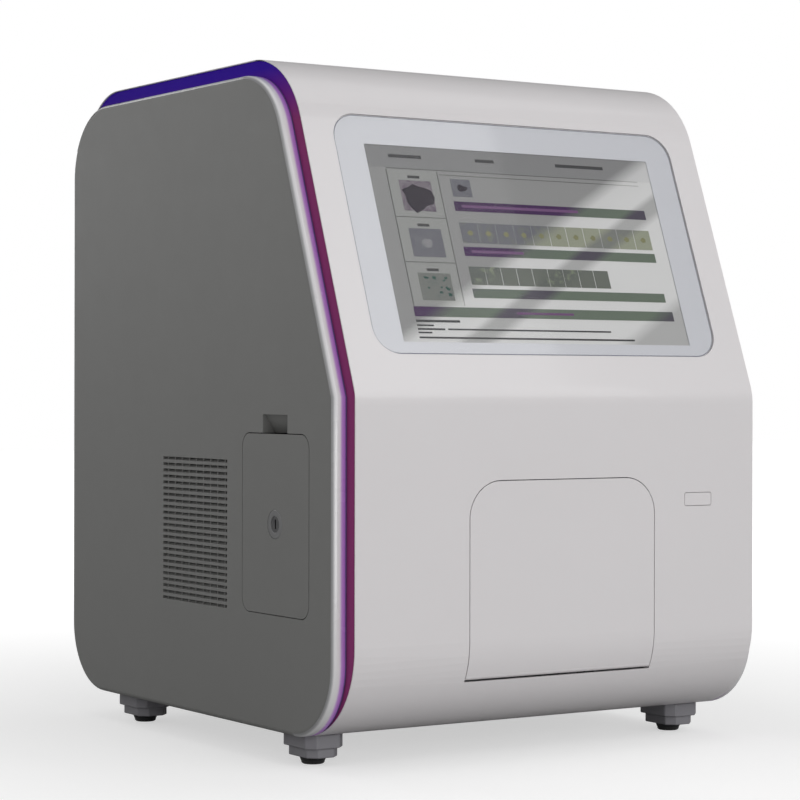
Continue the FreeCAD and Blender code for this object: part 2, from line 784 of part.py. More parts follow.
def make_door():
    outline = cover_profile("door_outside", "-body_width / 4", "body_width / 2", "0")
    inside = cover_profile("door_inside", "-body_width / 4 - 1", "body_width / 2 + 2", "cover_wall")
    skin = cut("door_skin", outline, inside)
    shape = arched_door_shape("door_shape", "0", "0", "-body_depth", "body_depth / 2 + 3 * cover_wall")
    above = box("door_above_line", ("-door_width", "door_width"), ("-body_depth", "body_depth"),
                (door_line_z, "body_height"))
    leaf = overlap("door_leaf", overlap("door_blank", skin, shape), above)
    half = "door_width / 2"
    bead = rod("door_bead", "X", "door_bead_radius", ("-" + half, half), (door_line_y, door_line_z))
    bores = []
    for word, side in (("left", -1), ("right", 1)):
        across = span_x(side, "%s - hinge_pin_reach - 1" % half, "%s + 1" % half)
        bores.append(rod("door_bore_" + word, "X", "hinge_pin_radius + running_gap", across,
                         (door_line_y, door_line_z)))
    strikes = [rod("strike_seat_%d" % k, "Y", "magnet_radius",
                   ("%s - strike_wall" % cover_in, "%s + 1" % cover_in), where)
               for k, where in enumerate(magnet_places())]
    node(cut("sample_door", join("door_blank_bead", leaf, bead), *(bores + strikes)))
    node(join("door_strikes", *[rod("strike_%d" % k, "Y", "magnet_radius",
                                    ("%s - strike_wall" % cover_in, cover_in), where)
                                for k, where in enumerate(magnet_places())]))

    pins = []
    for word, side in (("left", -1), ("right", 1)):
        across = span_x(side, "%s - hinge_pin_reach" % half, "%s + door_gap + hinge_pin_reach" % half)
        pins.append(rod("door_pin_" + word, "X", "hinge_pin_radius", across, (door_line_y, door_line_z)))
    node(join("door_hinge_pins", *pins))

    outer = rounded_plate("door_frame_outer", "XZ_Plane",
                          ("-%s - door_frame_margin" % half, "%s + door_frame_margin" % half),
                          ("%s + bottom_front_radius" % low, "%s + door_frame_margin" % door_high),
                          "door_frame_wall", ("0", "%s + door_frame_wall" % cover_in, "0"),
                          [None, "door_corner_radius + door_frame_margin",
                           "door_corner_radius + door_frame_margin", None])
    inner = rounded_plate("door_frame_inner", "XZ_Plane",
                          ("-%s + door_frame_lip" % half, "%s - door_frame_lip" % half),
                          ("%s" % low, "%s - door_frame_head" % door_high),
                          "door_frame_wall + 4", ("0", "%s + door_frame_wall + 2" % cover_in, "0"),
                          [None, "door_corner_radius - door_frame_lip",
                           "door_corner_radius - door_frame_lip", None])
    rabbet = arched_door_shape("door_frame_rabbet", "door_gap", "door_gap", "%s - 1" % cover_in,
                               "1 + fit_gap")
    seats = [rod("magnet_seat_%d" % k, "Y", "magnet_radius",
                 ("%s" % cover_in, "%s + fit_gap + magnet_wall" % cover_in), where)
             for k, where in enumerate(magnet_places())]
    node(cut("door_frame", outer, inner, rabbet, *seats))
    node(join("door_magnets", *[rod("magnet_%d" % k, "Y", "magnet_radius",
                                    ("%s + fit_gap" % cover_in,
                                     "%s + fit_gap + magnet_wall" % cover_in), where)
                                for k, where in enumerate(magnet_places())]))


def magnet_places():
    height = "%s - door_frame_head / 2" % door_high
    return [("-magnet_pitch / 2", height), ("magnet_pitch / 2", height)]


# Front button

def make_button():
    def block(label, grow, y_from, y_to):
        return box(label, ("button_x - button_width / 2 - (%s)" % grow,
                           "button_x + button_width / 2 + %s" % grow),
                   (y_from, y_to),
                   ("button_z - button_height / 2 - (%s)" % grow, "button_z + button_height / 2 + %s" % grow))

    flange_front = "(%s + button_gap)" % cover_in
    tip = rounded_plate("button_tip", "XZ_Plane",
                        ("button_x - button_width / 2", "button_x + button_width / 2"),
                        ("button_z - button_height / 2", "button_z + button_height / 2"),
                        "button_length", ("0", "%s + button_length" % front, "0"), ["1"] * 4)
    flange = block("button_flange_plate", "button_flange", flange_front, "%s + button_flange" % flange_front)
    node(join("front_button", tip, flange))

    case_back = "(%s + button_length + button_travel + 2)" % front
    case = block("switch_case", "button_flange + 2.5", cover_in, case_back)
    hollow = block("switch_hollow", "button_flange + 0.4", "%s - 1" % cover_in, "%s - 1.5" % case_back)
    node(cut("button_switch", case, hollow))


# Side hatch and lock

def make_hatch():
    leaf = hatch_opening("hatch_leaf", "0", "-%s" % panel_out, "panel_wall")
    barrel = rod("hatch_barrel", "Y", "hatch_barrel_radius", (hatch_front, hatch_back),
                 (hatch_line_x, hatch_line_z))
    middle = ("hatch_centre_y", hatch_middle)
    flange_seat = rod("lock_seat", "X", "lock_flange_radius + 0.1",
                      ("-%s - 1" % panel_out, "-%s + lock_flange_wall" % panel_out), middle)
    barrel_hole = rod("lock_hole", "X", "lock_barrel_radius + 0.1",
                      ("-%s - 1" % panel_out, "-%s + 3 * panel_wall" % panel_out), middle)
    bores = rod("hatch_leaf_bores", "Y", "hatch_pin_radius + running_gap",
                ("%s - 1" % hatch_front, "%s + 1" % hatch_back), (hatch_line_x, hatch_line_z))
    node(cut("side_hatch", join("hatch_with_barrel", leaf, barrel), flange_seat, barrel_hole, bores))

    pins = [rod("hatch_pin_front", "Y", "hatch_pin_radius",
                ("%s - hatch_pin_reach" % hatch_front,
                 "%s + 2 * hatch_pin_reach" % hatch_front), (hatch_line_x, hatch_line_z)),
            rod("hatch_pin_back", "Y", "hatch_pin_radius",
                ("%s - 2 * hatch_pin_reach" % hatch_back,
                 "%s + hatch_pin_reach" % hatch_back), (hatch_line_x, hatch_line_z))]
    node(join("hatch_hinge_pins", *pins))


def make_lock():
    middle = ("hatch_centre_y", hatch_middle)
    face = "(-%s)" % panel_out
    barrel_end = "(%s + lock_flange_wall + lock_barrel_length)" % face
    flange = rod("lock_flange", "X", "lock_flange_radius", (face, "%s + lock_flange_wall" % face), middle)
    barrel = rod("lock_barrel", "X", "lock_barrel_radius", (face, barrel_end), middle)
    bore = rod("lock_bore", "X", "lock_plug_radius + running_gap", ("%s - 1" % face, "%s + 1" % barrel_end),
               middle)
    node(cut("lock_housing", join("lock_body", flange, barrel), bore))

    nut_start = "(%s + panel_wall)" % face
    nut = doc.addObject("Part::Prism", "nut_blank")
    nut.Polygon = 6
    bind(nut, "Circumradius", "lock_nut_flats / sqrt(3)")
    bind(nut, "Height", "lock_nut_wall")
    nut.Placement = FreeCAD.Placement(FreeCAD.Vector(), turned["X"])
    place(nut, nut_start, *middle)
    hole = rod("nut_hole", "X", "lock_barrel_radius + 0.1",
               ("%s - 1" % nut_start, "%s + lock_nut_wall + 1" % nut_start), middle)
    node(cut("lock_nut", nut, hole))

    plug = rod("plug_body", "X", "lock_plug_radius", ("%s + 0.2" % face, barrel_end), middle)
    tail = rod("plug_tail", "X", "lock_tail_radius", (barrel_end, "%s + lock_plug_tail" % barrel_end), middle)
    keyway = box("keyway", ("%s - 1" % face, "%s + lock_key_depth" % face),
                 ("hatch_centre_y - lock_key_width / 2", "hatch_centre_y + lock_key_width / 2"),
                 ("%s - lock_key_length / 2" % hatch_middle, "%s + lock_key_length / 2" % hatch_middle))
    node(cut("lock_plug", join("plug_with_tail", plug, tail), keyway))

    cam_start = "(%s + 0.2)" % barrel_end
    cam = rounded_plate("cam_blank", "YZ_Plane", ("hatch_centre_y - cam_width / 2",
                                                  "hatch_centre_y + cam_width / 2"),
                        ("%s - cam_width / 2" % hatch_middle, "%s + cam_length" % hatch_middle),
                        "cam_wall", (cam_start, "0", "0"), ["cam_width / 2 - 0.5"] * 4)
    cam_hole = rod("cam_hole", "X", "lock_tail_radius",
                   ("%s - 1" % cam_start, "%s + cam_wall + 1" % cam_start), middle)
    node(cut("lock_cam", cam, cam_hole))


# Touch screen

def make_screen():
    node(slope_plate("touch_glass", "glass_width", "glass_low", "glass_high", "0", "glass_wall",
                     "glass_radius"))
    node(slope_plate("lcd_module", "module_width", "module_low", "module_high", "glass_wall", "module_wall",
                     "1"))
    back_depth = "(glass_wall + module_wall)"
    plate = slope_plate("bracket_plate", "bracket_width", "module_low - bracket_margin",
                        "module_high + bracket_margin",
                        back_depth, "bracket_wall", "3")
    rails = []
    for word, side in (("left", -1), ("right", 1)):
        rail = box("bracket_rail_" + word, span_x(side, "bracket_width / 2 - bracket_rail",
                                                  "bracket_width / 2"),
                   ("module_low - bracket_margin", "module_high + bracket_margin"),
                   ("-%s" % back_depth, "-cover_wall"))
        doc.recompute()
        rails.append(on_slope(rail))
    node(join("display_bracket", plate, *rails))


# Feet

def make_feet():
    pads = []
    for deep, y_side in (("front", -1), ("rear", 1)):
        for word, x_side in (("left", -1), ("right", 1)):
            label = "foot_block_%s_%s" % (deep, word)
            centre_x = "(%d * foot_x)" % x_side
            centre_y = "(%d * foot_y)" % y_side
            steps = []
            for step, inset, z_from, z_to in (("upper", "0", "%s - foot_step_height" % low, low),
                                              ("lower", "foot_step_inset", "pad_height",
                                               "%s - foot_step_height" % low)):
                block = outline_pad("%s_%s" % (label, step), "XY_Plane",
                                    foot_outline(centre_x, centre_y, inset), "(%s) - (%s)" % (z_to, z_from),
                                    ("0", "0", z_from))
                steps.append(block)
            node(join(label, *steps))
            pad = doc.addObject("Part::Cone", "foot_pad_%s_%s" % (deep, word))
            bind(pad, "Radius1", "pad_bottom_radius")
            bind(pad, "Radius2", "pad_top_radius")
            bind(pad, "Height", "pad_height")
            place(pad, centre_x, centre_y, "0")
            pads.append(pad)
    node(join("foot_pads", *pads))


def foot_outline(centre_x, centre_y, inset):
    """A rectangle with its four corners cut off, in order round the outline."""
    half_x = "(foot_width / 2 - %s)" % inset
    half_y = "(foot_depth / 2 - %s)" % inset
    corners = []
    for sx, sy, first in ((-1, -1, "y"), (-1, 1, "x"), (1, 1, "y"), (1, -1, "x")):
        on_x = ("%s + %d * (%s - foot_chamfer)" % (centre_x, sx, half_x),
                "%s + %d * %s" % (centre_y, sy, half_y))
        on_y = ("%s + %d * %s" % (centre_x, sx, half_x),
                "%s + %d * (%s - foot_chamfer)" % (centre_y, sy, half_y))
        corners += [on_x, on_y] if first == "y" else [on_y, on_x]
    return corners


# Steel frame

def make_frame():
    for word, side in (("left", -1), ("right", 1)):
        across = span_x(side, frame_x_in, frame_x_out)
        radii = ["%s - cover_wall + fit_gap" % radius for radius in
                 ("bottom_front_radius", "top_front_radius", "top_back_radius", "bottom_back_radius")]
        wall = side_profile("wall_blank_" + word, across[0], "steel_wall", ["cover_wall"] * 4, radii)
        through = ("%s - 20" % across[0], "%s + 20" % across[1])
        vent_hole = box("vent_aperture_" + word, through,
                        ("vent_centre_y - vent_width / 2 - aperture_margin",
                         "vent_centre_y + vent_width / 2 + aperture_margin"),
                        ("vent_centre_z - vent_height / 2 - aperture_margin",
                         "vent_centre_z + vent_height / 2 + aperture_margin"))
        cuts = [vent_hole]
        if side < 0:
            cuts.append(box("hatch_aperture", through,
                            ("%s - aperture_margin" % hatch_front, "%s + aperture_margin" % hatch_back),
                            ("%s - aperture_margin" % hatch_low, "%s + aperture_margin" % hatch_high)))
        tabs = [box("screw_tab_%s_%d" % (word, k),
                    span_x(side, "%s - tab_width" % frame_x_in, "%s + steel_wall / 2" % frame_x_in),
                    ("%s - tab_wall" % back_panel_in, back_panel_in),
                    ("%s - tab_height / 2" % height, "%s + tab_height / 2" % height))
                for k, height in enumerate(screw_heights())]
        holes = [rod("tab_hole_%s_%d" % (word, k), "Y", "screw_radius", ("body_depth / 4", "body_depth"),
                     (screw_x(side), height)) for k, height in enumerate(screw_heights())]
        blank = cut("wall_cut_" + word, wall, *cuts)
        node(cut("chassis_wall_" + word, join("wall_with_tabs_" + word, blank, *tabs), *holes))

    floor = box("floor_plate", ("-" + frame_x_in, frame_x_in),
                ("%s + floor_front_margin" % front,
                 "%s - floor_back_margin" % back), ("floor_height", floor_top))
    ear_side = "(belt_x - belt_width / 2 - 2 * pulley_side_gap - pulley_flange)"
    ear = box("idler_ear", ("%s - steel_wall" % ear_side, ear_side),
              ("idler_pulley_y - 6", "idler_pulley_y + 6"),
              ("floor_height + floor_wall / 2", "%s + 5" % pulley_z))
    axle = rod("idler_axle", "X", "pulley_bore", ("%s - steel_wall / 2" % ear_side, "belt_x + belt_width"),
               ("idler_pulley_y", pulley_z))
    node(join("stage_plate", floor, ear, axle))

    plate = box("bulkhead_plate", ("-" + frame_x_in, frame_x_in),
                ("bulkhead_y", "bulkhead_y + steel_wall"), (floor_top, "bulkhead_top"))
    posts = [rod("standoff_%d" % k, "Y", "standoff_radius",
                 ("bulkhead_y + steel_wall / 2", "bulkhead_y + steel_wall + standoff_length"),
                 ("board_x + %d * (board_width / 2 - standoff_margin)" % sx,
                  "board_z + %d * (board_height / 2 - standoff_margin)" % sz))
             for k, (sx, sz) in enumerate(((-1, -1), (-1, 1), (1, -1), (1, 1)))]
    node(join("rear_bulkhead", plate, *posts))


def screw_heights():
    low_row = "(%s + screw_margin)" % back_panel_low
    high_row = "(%s - screw_margin)" % back_panel_high
    return [low_row, "((%s + %s) / 2)" % (low_row, high_row), high_row]


def screw_x(side):
    return "(%d * (%s - tab_width / 2))" % (side, frame_x_in)


# Sample tray and its drive

tray_front = "(%s + tray_front_gap)" % front
tray_back = "(%s + tray_length)" % tray_front
tray_middle = "(%s + tray_length / 2)" % tray_front
tray_top = "(tray_bottom + tray_height)"
rail_top = "(%s + rail_base_height + rail_head_height)" % floor_top


def make_tray():
    rails = []
    for word, side in (("left", -1), ("right", 1)):
        for step, width, z_from, z_to in (("base", "rail_base_width", floor_top,
                                           "%s + rail_base_height" % floor_top),
                                          ("head", "rail_head_width", "%s + rail_base_height" % floor_top,
                                           rail_top)):
            rails.append(box("rail_%s_%s" % (step, word),
                             ("%d * rail_x - %s / 2" % (side, width), "%d * rail_x + %s / 2" % (side, width)),
                             ("%s + rail_start" % front, "drive_pulley_y - rail_back_gap"), (z_from, z_to)))
    node(join("tray_rails", *rails))

    pieces = [box("tray_block", ("-tray_width / 2", "tray_width / 2"), (tray_front, tray_back),
                  ("tray_bottom", tray_top))]
    channels = []
    for word, side in (("left", -1), ("right", 1)):
        for end, middle in (("front", "%s + runner_length / 2 + 4" % tray_front),
                            ("back", "%s - runner_length / 2 - 4" % tray_back)):
            pieces.append(box("runner_%s_%s" % (word, end),
                              ("%d * rail_x - runner_width / 2" % side,
                               "%d * rail_x + runner_width / 2" % side),
                              ("%s - runner_length / 2" % middle, "%s + runner_length / 2" % middle),
                              ("%s - runner_grip" % rail_top, "tray_bottom + 1")))
        channels.append(box("runner_channel_" + word,
                            ("%d * rail_x - rail_head_width / 2 - fit_gap" % side,
                             "%d * rail_x + rail_head_width / 2 + fit_gap" % side),
                            ("-body_depth", "body_depth"), ("%s - runner_grip - 1" % rail_top,
                                                            "%s + fit_gap" % rail_top)))
    pieces.append(box("belt_clamp", ("belt_x - belt_width / 2", "belt_x + belt_width / 2"),
                      ("%s - 10" % tray_middle, "%s + 10" % tray_middle),
                      ("%s + pulley_radius + belt_wall + fit_gap" % pulley_z, "tray_bottom + 1")))
    wells = [rod("tube_well_%d" % k, "Z", "tube_well_radius",
                 ("%s - tube_well_depth" % tray_top, "%s + 1" % tray_top),
                 ("tube_well_x", "%s + %d * tube_well_pitch" % (tray_middle, k))) for k in (-1, 0, 1)]
    slide = box("slide_seat", ("optic_x - slide_width / 2", "optic_x + slide_width / 2"),
                ("%s - slide_length / 2" % tray_middle, "%s + slide_length / 2" % tray_middle),
                ("%s - slide_depth" % tray_top, "%s + 1" % tray_top))
    light = box("light_window", ("optic_x - light_width / 2", "optic_x + light_width / 2"),
                ("%s - light_length / 2" % tray_middle, "%s + light_length / 2" % tray_middle),
                ("tray_bottom - 1", "%s + 1" % tray_top))
    node(cut("sample_tray", join("tray_body", *pieces), slide, light, *(channels + wells)))

    for label, where in (("drive_pulley", "drive_pulley_y"), ("idler_pulley", "idler_pulley_y")):
        half = "(belt_width / 2 + pulley_side_gap)"
        wheel = rod(label + "_wheel", "X", "pulley_radius", ("belt_x - %s" % half, "belt_x + %s" % half),
                    (where, pulley_z))
        rims = [rod("%s_rim_%d" % (label, k), "X", "pulley_radius + belt_wall", span, (where, pulley_z))
                for k, span in enumerate((("belt_x - %s - pulley_flange" % half, "belt_x - %s" % half),
                                          ("belt_x + %s" % half, "belt_x + %s + pulley_flange" % half)))]
        bore = rod(label + "_bore", "X", "pulley_bore + running_gap",
                   ("belt_x - 3 * belt_width", "belt_x + 3 * belt_width"), (where, pulley_z))
        node(cut(label, join(label + "_blank", wheel, *rims), bore))

    loop = []
    for step, radius, half in (("outer", "pulley_radius + belt_wall", "belt_width / 2"),
                               ("inner", "pulley_radius + belt_gap", "belt_width")):
        across = ("belt_x - %s" % half, "belt_x + %s" % half)
        ends = [rod("belt_%s_%s" % (step, name), "X", radius, across, (name + "_pulley_y", pulley_z))
                for name in ("drive", "idler")]
        run = box("belt_%s_run" % step, across, ("idler_pulley_y", "drive_pulley_y"),
                  ("%s - (%s)" % (pulley_z, radius), "%s + (%s)" % (pulley_z, radius)))
        loop.append(join("belt_%s_loop" % step, run, *ends))
    node(cut("drive_belt", loop[0], loop[1]))

    motor_x = "(belt_x + belt_width / 2 + 2 * pulley_side_gap + pulley_flange)"
    case = box("tray_motor_case", (motor_x, "%s + tray_motor_length" % motor_x),
               ("drive_pulley_y - tray_motor_size / 2", "drive_pulley_y + tray_motor_size / 2"),
               ("%s - tray_motor_size / 2" % pulley_z, "%s + tray_motor_size / 2" % pulley_z))
    shaft = rod("tray_motor_shaft", "X", "pulley_bore", ("belt_x - belt_width", "%s + 2" % motor_x),
                ("drive_pulley_y", pulley_z))
    node(join("tray_motor", case, shaft))


# Microscope camera

screw_x_place = "(optic_x + focus_screw_offset)"
screw_y_place = "(frame_front - fit_gap - focus_motor_size / 2)"


def make_optics():
    legs = [box("frame_leg_" + word, span_x(side, "frame_x", "frame_x + frame_leg"),
                ("frame_front", "frame_front + frame_leg_depth"), (floor_top,
                                                                   "%s + frame_height" % floor_top))
            for word, side in (("left", -1), ("right", 1))]
    plate = box("frame_plate", ("-frame_x - frame_leg / 2", "frame_x + frame_leg / 2"),
                ("frame_front", "frame_front + frame_wall"),
                ("frame_plate_low", "%s + frame_height" % floor_top))
    square = "(focus_motor_size / 2)"
    shelf = box("focus_shelf", ("%s - %s" % (screw_x_place, square), "%s + %s" % (screw_x_place, square)),
                ("%s - %s" % (screw_y_place, square),
                 "frame_front + 1"), ("focus_shelf_low", "focus_shelf_low + focus_shelf_wall"))
    foot = box("focus_foot", ("%s - 6" % screw_x_place, "%s + 6" % screw_x_place),
               ("%s - 6" % screw_y_place, "frame_front + 1"),
               ("focus_screw_low - 6", "focus_screw_low - fit_gap"))
    hole = rod("shelf_hole", "Z", "focus_screw_radius + fit_gap",
               ("focus_shelf_low - 1", "focus_shelf_low + focus_shelf_wall + 1"),
               (screw_x_place, screw_y_place))
    node(cut("optics_frame", join("optics_frame_blank", plate, shelf, foot, *legs), hole))

    block_back = "(frame_front - fit_gap)"
    left = "(optic_x - block_width / 2)"
    right = "(optic_x + block_width / 2)"
    block = box("focus_block", (left, right), ("%s - block_depth" % block_back, block_back),
                ("block_low", "block_low + block_height"))
    arm = box("focus_arm", (left, right), ("arm_front", "%s - block_depth + 1" % block_back),
              ("block_low", "block_low + arm_height"))
    nut = box("focus_nut", ("%s - 1" % right, "%s + focus_nut_size / 2" % screw_x_place),
              ("%s - focus_nut_size / 2" % screw_y_place, "%s + focus_nut_size / 2" % screw_y_place),
              ("block_low + focus_nut_low", "block_low + focus_nut_low + focus_nut_height"))
    nut_bore = rod("focus_nut_bore", "Z", "focus_screw_radius + fit_gap",
                   ("block_low", "block_low + block_height"),
                   (screw_x_place, screw_y_place))
    node(cut("focus_carriage", join("focus_carriage_blank", block, arm, nut), nut_bore))

    centre = ("optic_x", "optic_y")
    barrel = rod("objective_barrel", "Z", "objective_radius",
                 ("block_low - objective_length * 0.6", "block_low"), centre)
    tip = doc.addObject("Part::Cone", "objective_tip")
    bind(tip, "Radius1", "objective_tip_radius")
    bind(tip, "Radius2", "objective_radius")
    bind(tip, "Height", "objective_length * 0.4")
    place(tip, "optic_x", "optic_y", "block_low - objective_length")
    node(join("objective_lens", barrel, tip))

    half = "(camera_size / 2)"
    node(box("camera_module", ("optic_x - %s" % half, "optic_x + %s" % half),
             ("optic_y - %s + 2" % half, "optic_y + %s + 2" % half),
             ("block_low + arm_height", "block_low + arm_height + camera_height")))

    node(rod("focus_screw", "Z", "focus_screw_radius",
             ("focus_screw_low", "focus_shelf_low + focus_shelf_wall - fit_gap"),
             (screw_x_place, screw_y_place)))
    motor_low = "(focus_shelf_low + focus_shelf_wall)"
    node(box("focus_motor", ("%s - %s" % (screw_x_place, square), "%s + %s" % (screw_x_place, square)),
             ("%s - %s" % (screw_y_place, square), "%s + %s" % (screw_y_place, square)),
             (motor_low, "%s + focus_motor_height" % motor_low)))

    collar = rod("lamp_collar", "Z", "lamp_radius", (floor_top, "%s + lamp_height" % floor_top), centre)
    mouth = rod("lamp_mouth", "Z", "lamp_radius - 3",
                ("%s + lamp_height - 3" % floor_top, "%s + lamp_height + 1" % floor_top), centre)
    node(cut("stage_lamp", collar, mouth))


# Liquids

shelf_top = "(%s + shelf_wall)" % hatch_low


def make_bottles():
    shelf_back = "(hatch_centre_y + bottle_gap + bottle_width + 4)"
    shelf_front = "(hatch_centre_y - bottle_gap - bottle_width - 4)"
    tray = box("shelf_tray", ("-%s" % frame_x_in, "-bottle_x + 6"), (shelf_front, shelf_back),
               (hatch_low, shelf_top))
    leg = box("shelf_leg", ("-bottle_x + 4", "-bottle_x + 6"), (shelf_front, shelf_back),
              (floor_top, shelf_top))
    node(join("bottle_shelf", tray, leg))

    for label, side in (("reagent_bottle", -1), ("waste_bottle", 1)):
        middle = "(hatch_centre_y + %d * (bottle_gap / 2 + bottle_width / 2))" % side
        inner = "-bottle_x"
        outer = "-bottle_x - bottle_depth"
        tank = rounded_plate(label + "_tank", "XY_Plane", (outer, inner),
                             ("%s - bottle_width / 2" % middle, "%s + bottle_width / 2" % middle),
                             "bottle_height", ("0", "0", shelf_top), ["bottle_corner"] * 4)
        centre = ("-bottle_x - bottle_depth / 2", middle)
        neck_low = "(%s + bottle_height)" % shelf_top
        neck = rod(label + "_neck", "Z", "bottle_neck_radius",
                   ("%s - 1" % neck_low, "%s + bottle_neck_height" % neck_low), centre)
        cap = rod(label + "_cap", "Z", "bottle_cap_radius",
                  ("%s + 2" % neck_low, "%s + 2 + bottle_cap_height" % neck_low), centre)
        node(join(label, tank, neck, cap))


def make_pump():
    face = "(bulkhead_y - pump_depth)"
    half = "(pump_size / 2)"
    centre = ("pump_x", "pump_z")
    block = box("pump_block", ("pump_x - %s" % half, "pump_x + %s" % half), (face, "bulkhead_y"),
                ("pump_z - %s" % half, "pump_z + %s" % half))
    race = rod("pump_race", "Y", "pump_race_radius", ("%s - pump_race_depth" % face, "%s + 1" % face), centre)
    bore = rod("pump_bore", "Y", "pump_race_bore", ("%s - pump_race_depth - 1" % face, face), centre)
    shaft = rod("pump_shaft", "Y", "pump_shaft_radius",
                ("%s - pump_race_depth + 1" % face, "%s + 1" % face), centre)
    node(join("pump_body", cut("pump_case", join("pump_blank", block, race), bore), shaft))

    span = ("%s - pump_race_depth + 1" % face, "%s - 0.5" % face)
    disc = rod("rotor_disc", "Y", "pump_rotor_radius", span, centre)
    rollers = []
    for k in range(3):
        angle = 120 * k + 90
        rollers.append(rod("roller_%d" % k, "Y", "pump_roller_radius", span,
                           ("pump_x + pump_roller_circle * cos(%d deg)" % angle,
                            "pump_z + pump_roller_circle * sin(%d deg)" % angle)))
    hole = rod("rotor_hole", "Y", "pump_shaft_radius + running_gap", ("%s - pump_race_depth" % face, face),
               centre)
    node(cut("pump_rotor", join("rotor_blank", disc, *rollers), hole))


# Electronics and rear fittings

board_front = "(bulkhead_y + steel_wall + standoff_length)"
board_back = "(%s + board_wall)" % board_front
supply_low = "(foot_height + bottom_back_radius)"


def port_block(label, centre_x, width, height, slots):
    """A connector that stands on the board and reaches the outside of the back panel."""
    body = box(label + "_case", ("%s - %s / 2" % (centre_x, width), "%s + %s / 2" % (centre_x, width)),
               (board_back, back_panel_out), ("port_row_z - %s / 2" % height, "port_row_z + %s / 2" % height))
    cuts = [box("%s_slot_%d" % (label, k), ("%s - %s / 2" % (centre_x, slot_w),
                                            "%s + %s / 2" % (centre_x, slot_w)),
                ("%s - socket_depth" % back_panel_out, "%s + 1" % back_panel_out),
                ("port_row_z + %s - %s / 2" % (rise, slot_h), "port_row_z + %s + %s / 2" % (rise, slot_h)))
            for k, (slot_w, slot_h, rise) in enumerate(slots)]
    return cut(label, body, *cuts)


def make_electronics():
    node(box("main_board", ("board_x - board_width / 2", "board_x + board_width / 2"),
             (board_front, board_back),
             ("board_z - board_height / 2", "board_z + board_height / 2")))
    usb = port_block("usb_port", "usb_x", "usb_width", "usb_height",
                     [("usb_slot_width", "usb_slot_height", "usb_slot_pitch / 2"),
                      ("usb_slot_width", "usb_slot_height", "-usb_slot_pitch / 2")])
    lan = port_block("lan_port", "lan_x", "lan_width", "lan_height",
                     [("lan_slot_width", "lan_slot_height", "0")])
    node(join("io_ports", usb, lan))
    node(box("power_supply", ("supply_x - supply_width / 2", "supply_x + supply_width / 2"),
             ("bulkhead_y + steel_wall", "bulkhead_y + steel_wall + supply_depth"),
             (supply_low, "%s + supply_height" % supply_low)))


rocker_z = "(inlet_z + rocker_rise)"
rocker_y = "(%s - rocker_depth / 2)" % back


def inlet_plate(label, grow, y_from, length):
    return rounded_plate(label, "XZ_Plane",
                         ("inlet_x - inlet_width / 2 - %s" % grow, "inlet_x + inlet_width / 2 + %s" % grow),
                         ("inlet_z - inlet_height / 2 - %s" % grow, "inlet_z + inlet_height / 2 + %s" % grow),
                         length, ("0", "(%s) + (%s)" % (y_from, length), "0"), ["2"] * 4)


def make_inlet():
    body = inlet_plate("inlet_body", "0", "%s - inlet_depth" % back, "inlet_depth")
    flange = inlet_plate("inlet_flange_plate", "inlet_flange", back_panel_out, "back_panel_recess")
    socket_z = "(inlet_z - inlet_socket_drop)"
    socket = rounded_plate("inlet_socket", "XZ_Plane",
                           ("inlet_x - inlet_socket_width / 2", "inlet_x + inlet_socket_width / 2"),
                           ("%s - inlet_socket_height / 2" % socket_z,
                            "%s + inlet_socket_height / 2" % socket_z),
                           "inlet_socket_depth + 1", ("0", "%s + 1" % back, "0"), ["1", "4", "4", "1"])
    rocker_well = box("rocker_well", ("inlet_x - rocker_width / 2 - fit_gap",
                                      "inlet_x + rocker_width / 2 + fit_gap"),
                      ("%s - rocker_depth - 3" % back, "%s + 1" % back),
                      ("%s - rocker_height / 2 - 0.8" % rocker_z, "%s + rocker_height / 2 + 0.8" % rocker_z))
    pin_x = "(rocker_width / 2 + rocker_pin_reach)"
    rocker_bore = rod("rocker_bore", "X", "rocker_pin_radius + running_gap",
                      ("inlet_x - %s - fit_gap" % pin_x,
                       "inlet_x + %s + fit_gap" % pin_x), (rocker_y, rocker_z))
    blank = cut("inlet_blank", join("inlet_case", body, flange), socket, rocker_well, rocker_bore)
    pins = []
    for k, (dx, dz) in enumerate(((-1, -2), (0, 2), (1, -2))):
        x = "(inlet_x + %d * inlet_pin_pitch)" % dx
        z = "(%s + %d)" % (socket_z, dz)
        root = "(%s - inlet_socket_depth)" % back
        pins.append(box("inlet_pin_%d" % k, ("%s - inlet_pin_wall / 2" % x, "%s + inlet_pin_wall / 2" % x),
                        ("%s - 1" % root, "%s + inlet_pin_length" % root),
                        ("%s - inlet_pin_width / 2" % z, "%s + inlet_pin_width / 2" % z)))
    node(join("power_inlet", blank, *pins))

    rocker = box("rocker_cap", ("inlet_x - rocker_width / 2", "inlet_x + rocker_width / 2"),
                 ("%s - rocker_depth / 2" % rocker_y, "%s + rocker_depth / 2 - 1" % rocker_y),
                 ("%s - rocker_height / 2" % rocker_z, "%s + rocker_height / 2" % rocker_z))
    doc.recompute()
    own = rocker.Placement
    for axis in "xyz":
        rocker.setExpression("Placement.Base." + axis, None)
    pivot = FreeCAD.Vector(0, size("body_depth") / 2 - size("rocker_depth") / 2,
                           size("inlet_z") + size("rocker_rise"))
    tilt = FreeCAD.Placement(FreeCAD.Vector(), FreeCAD.Rotation(FreeCAD.Vector(1, 0, 0),
                                                                size("rocker_tilt")), pivot)
    rocker.Placement = tilt.multiply(own)
    pin = rod("rocker_pin", "X", "rocker_pin_radius", ("inlet_x - %s" % pin_x, "inlet_x + %s" % pin_x),
              (rocker_y, rocker_z))
    node(join("rocker_switch", rocker, pin))


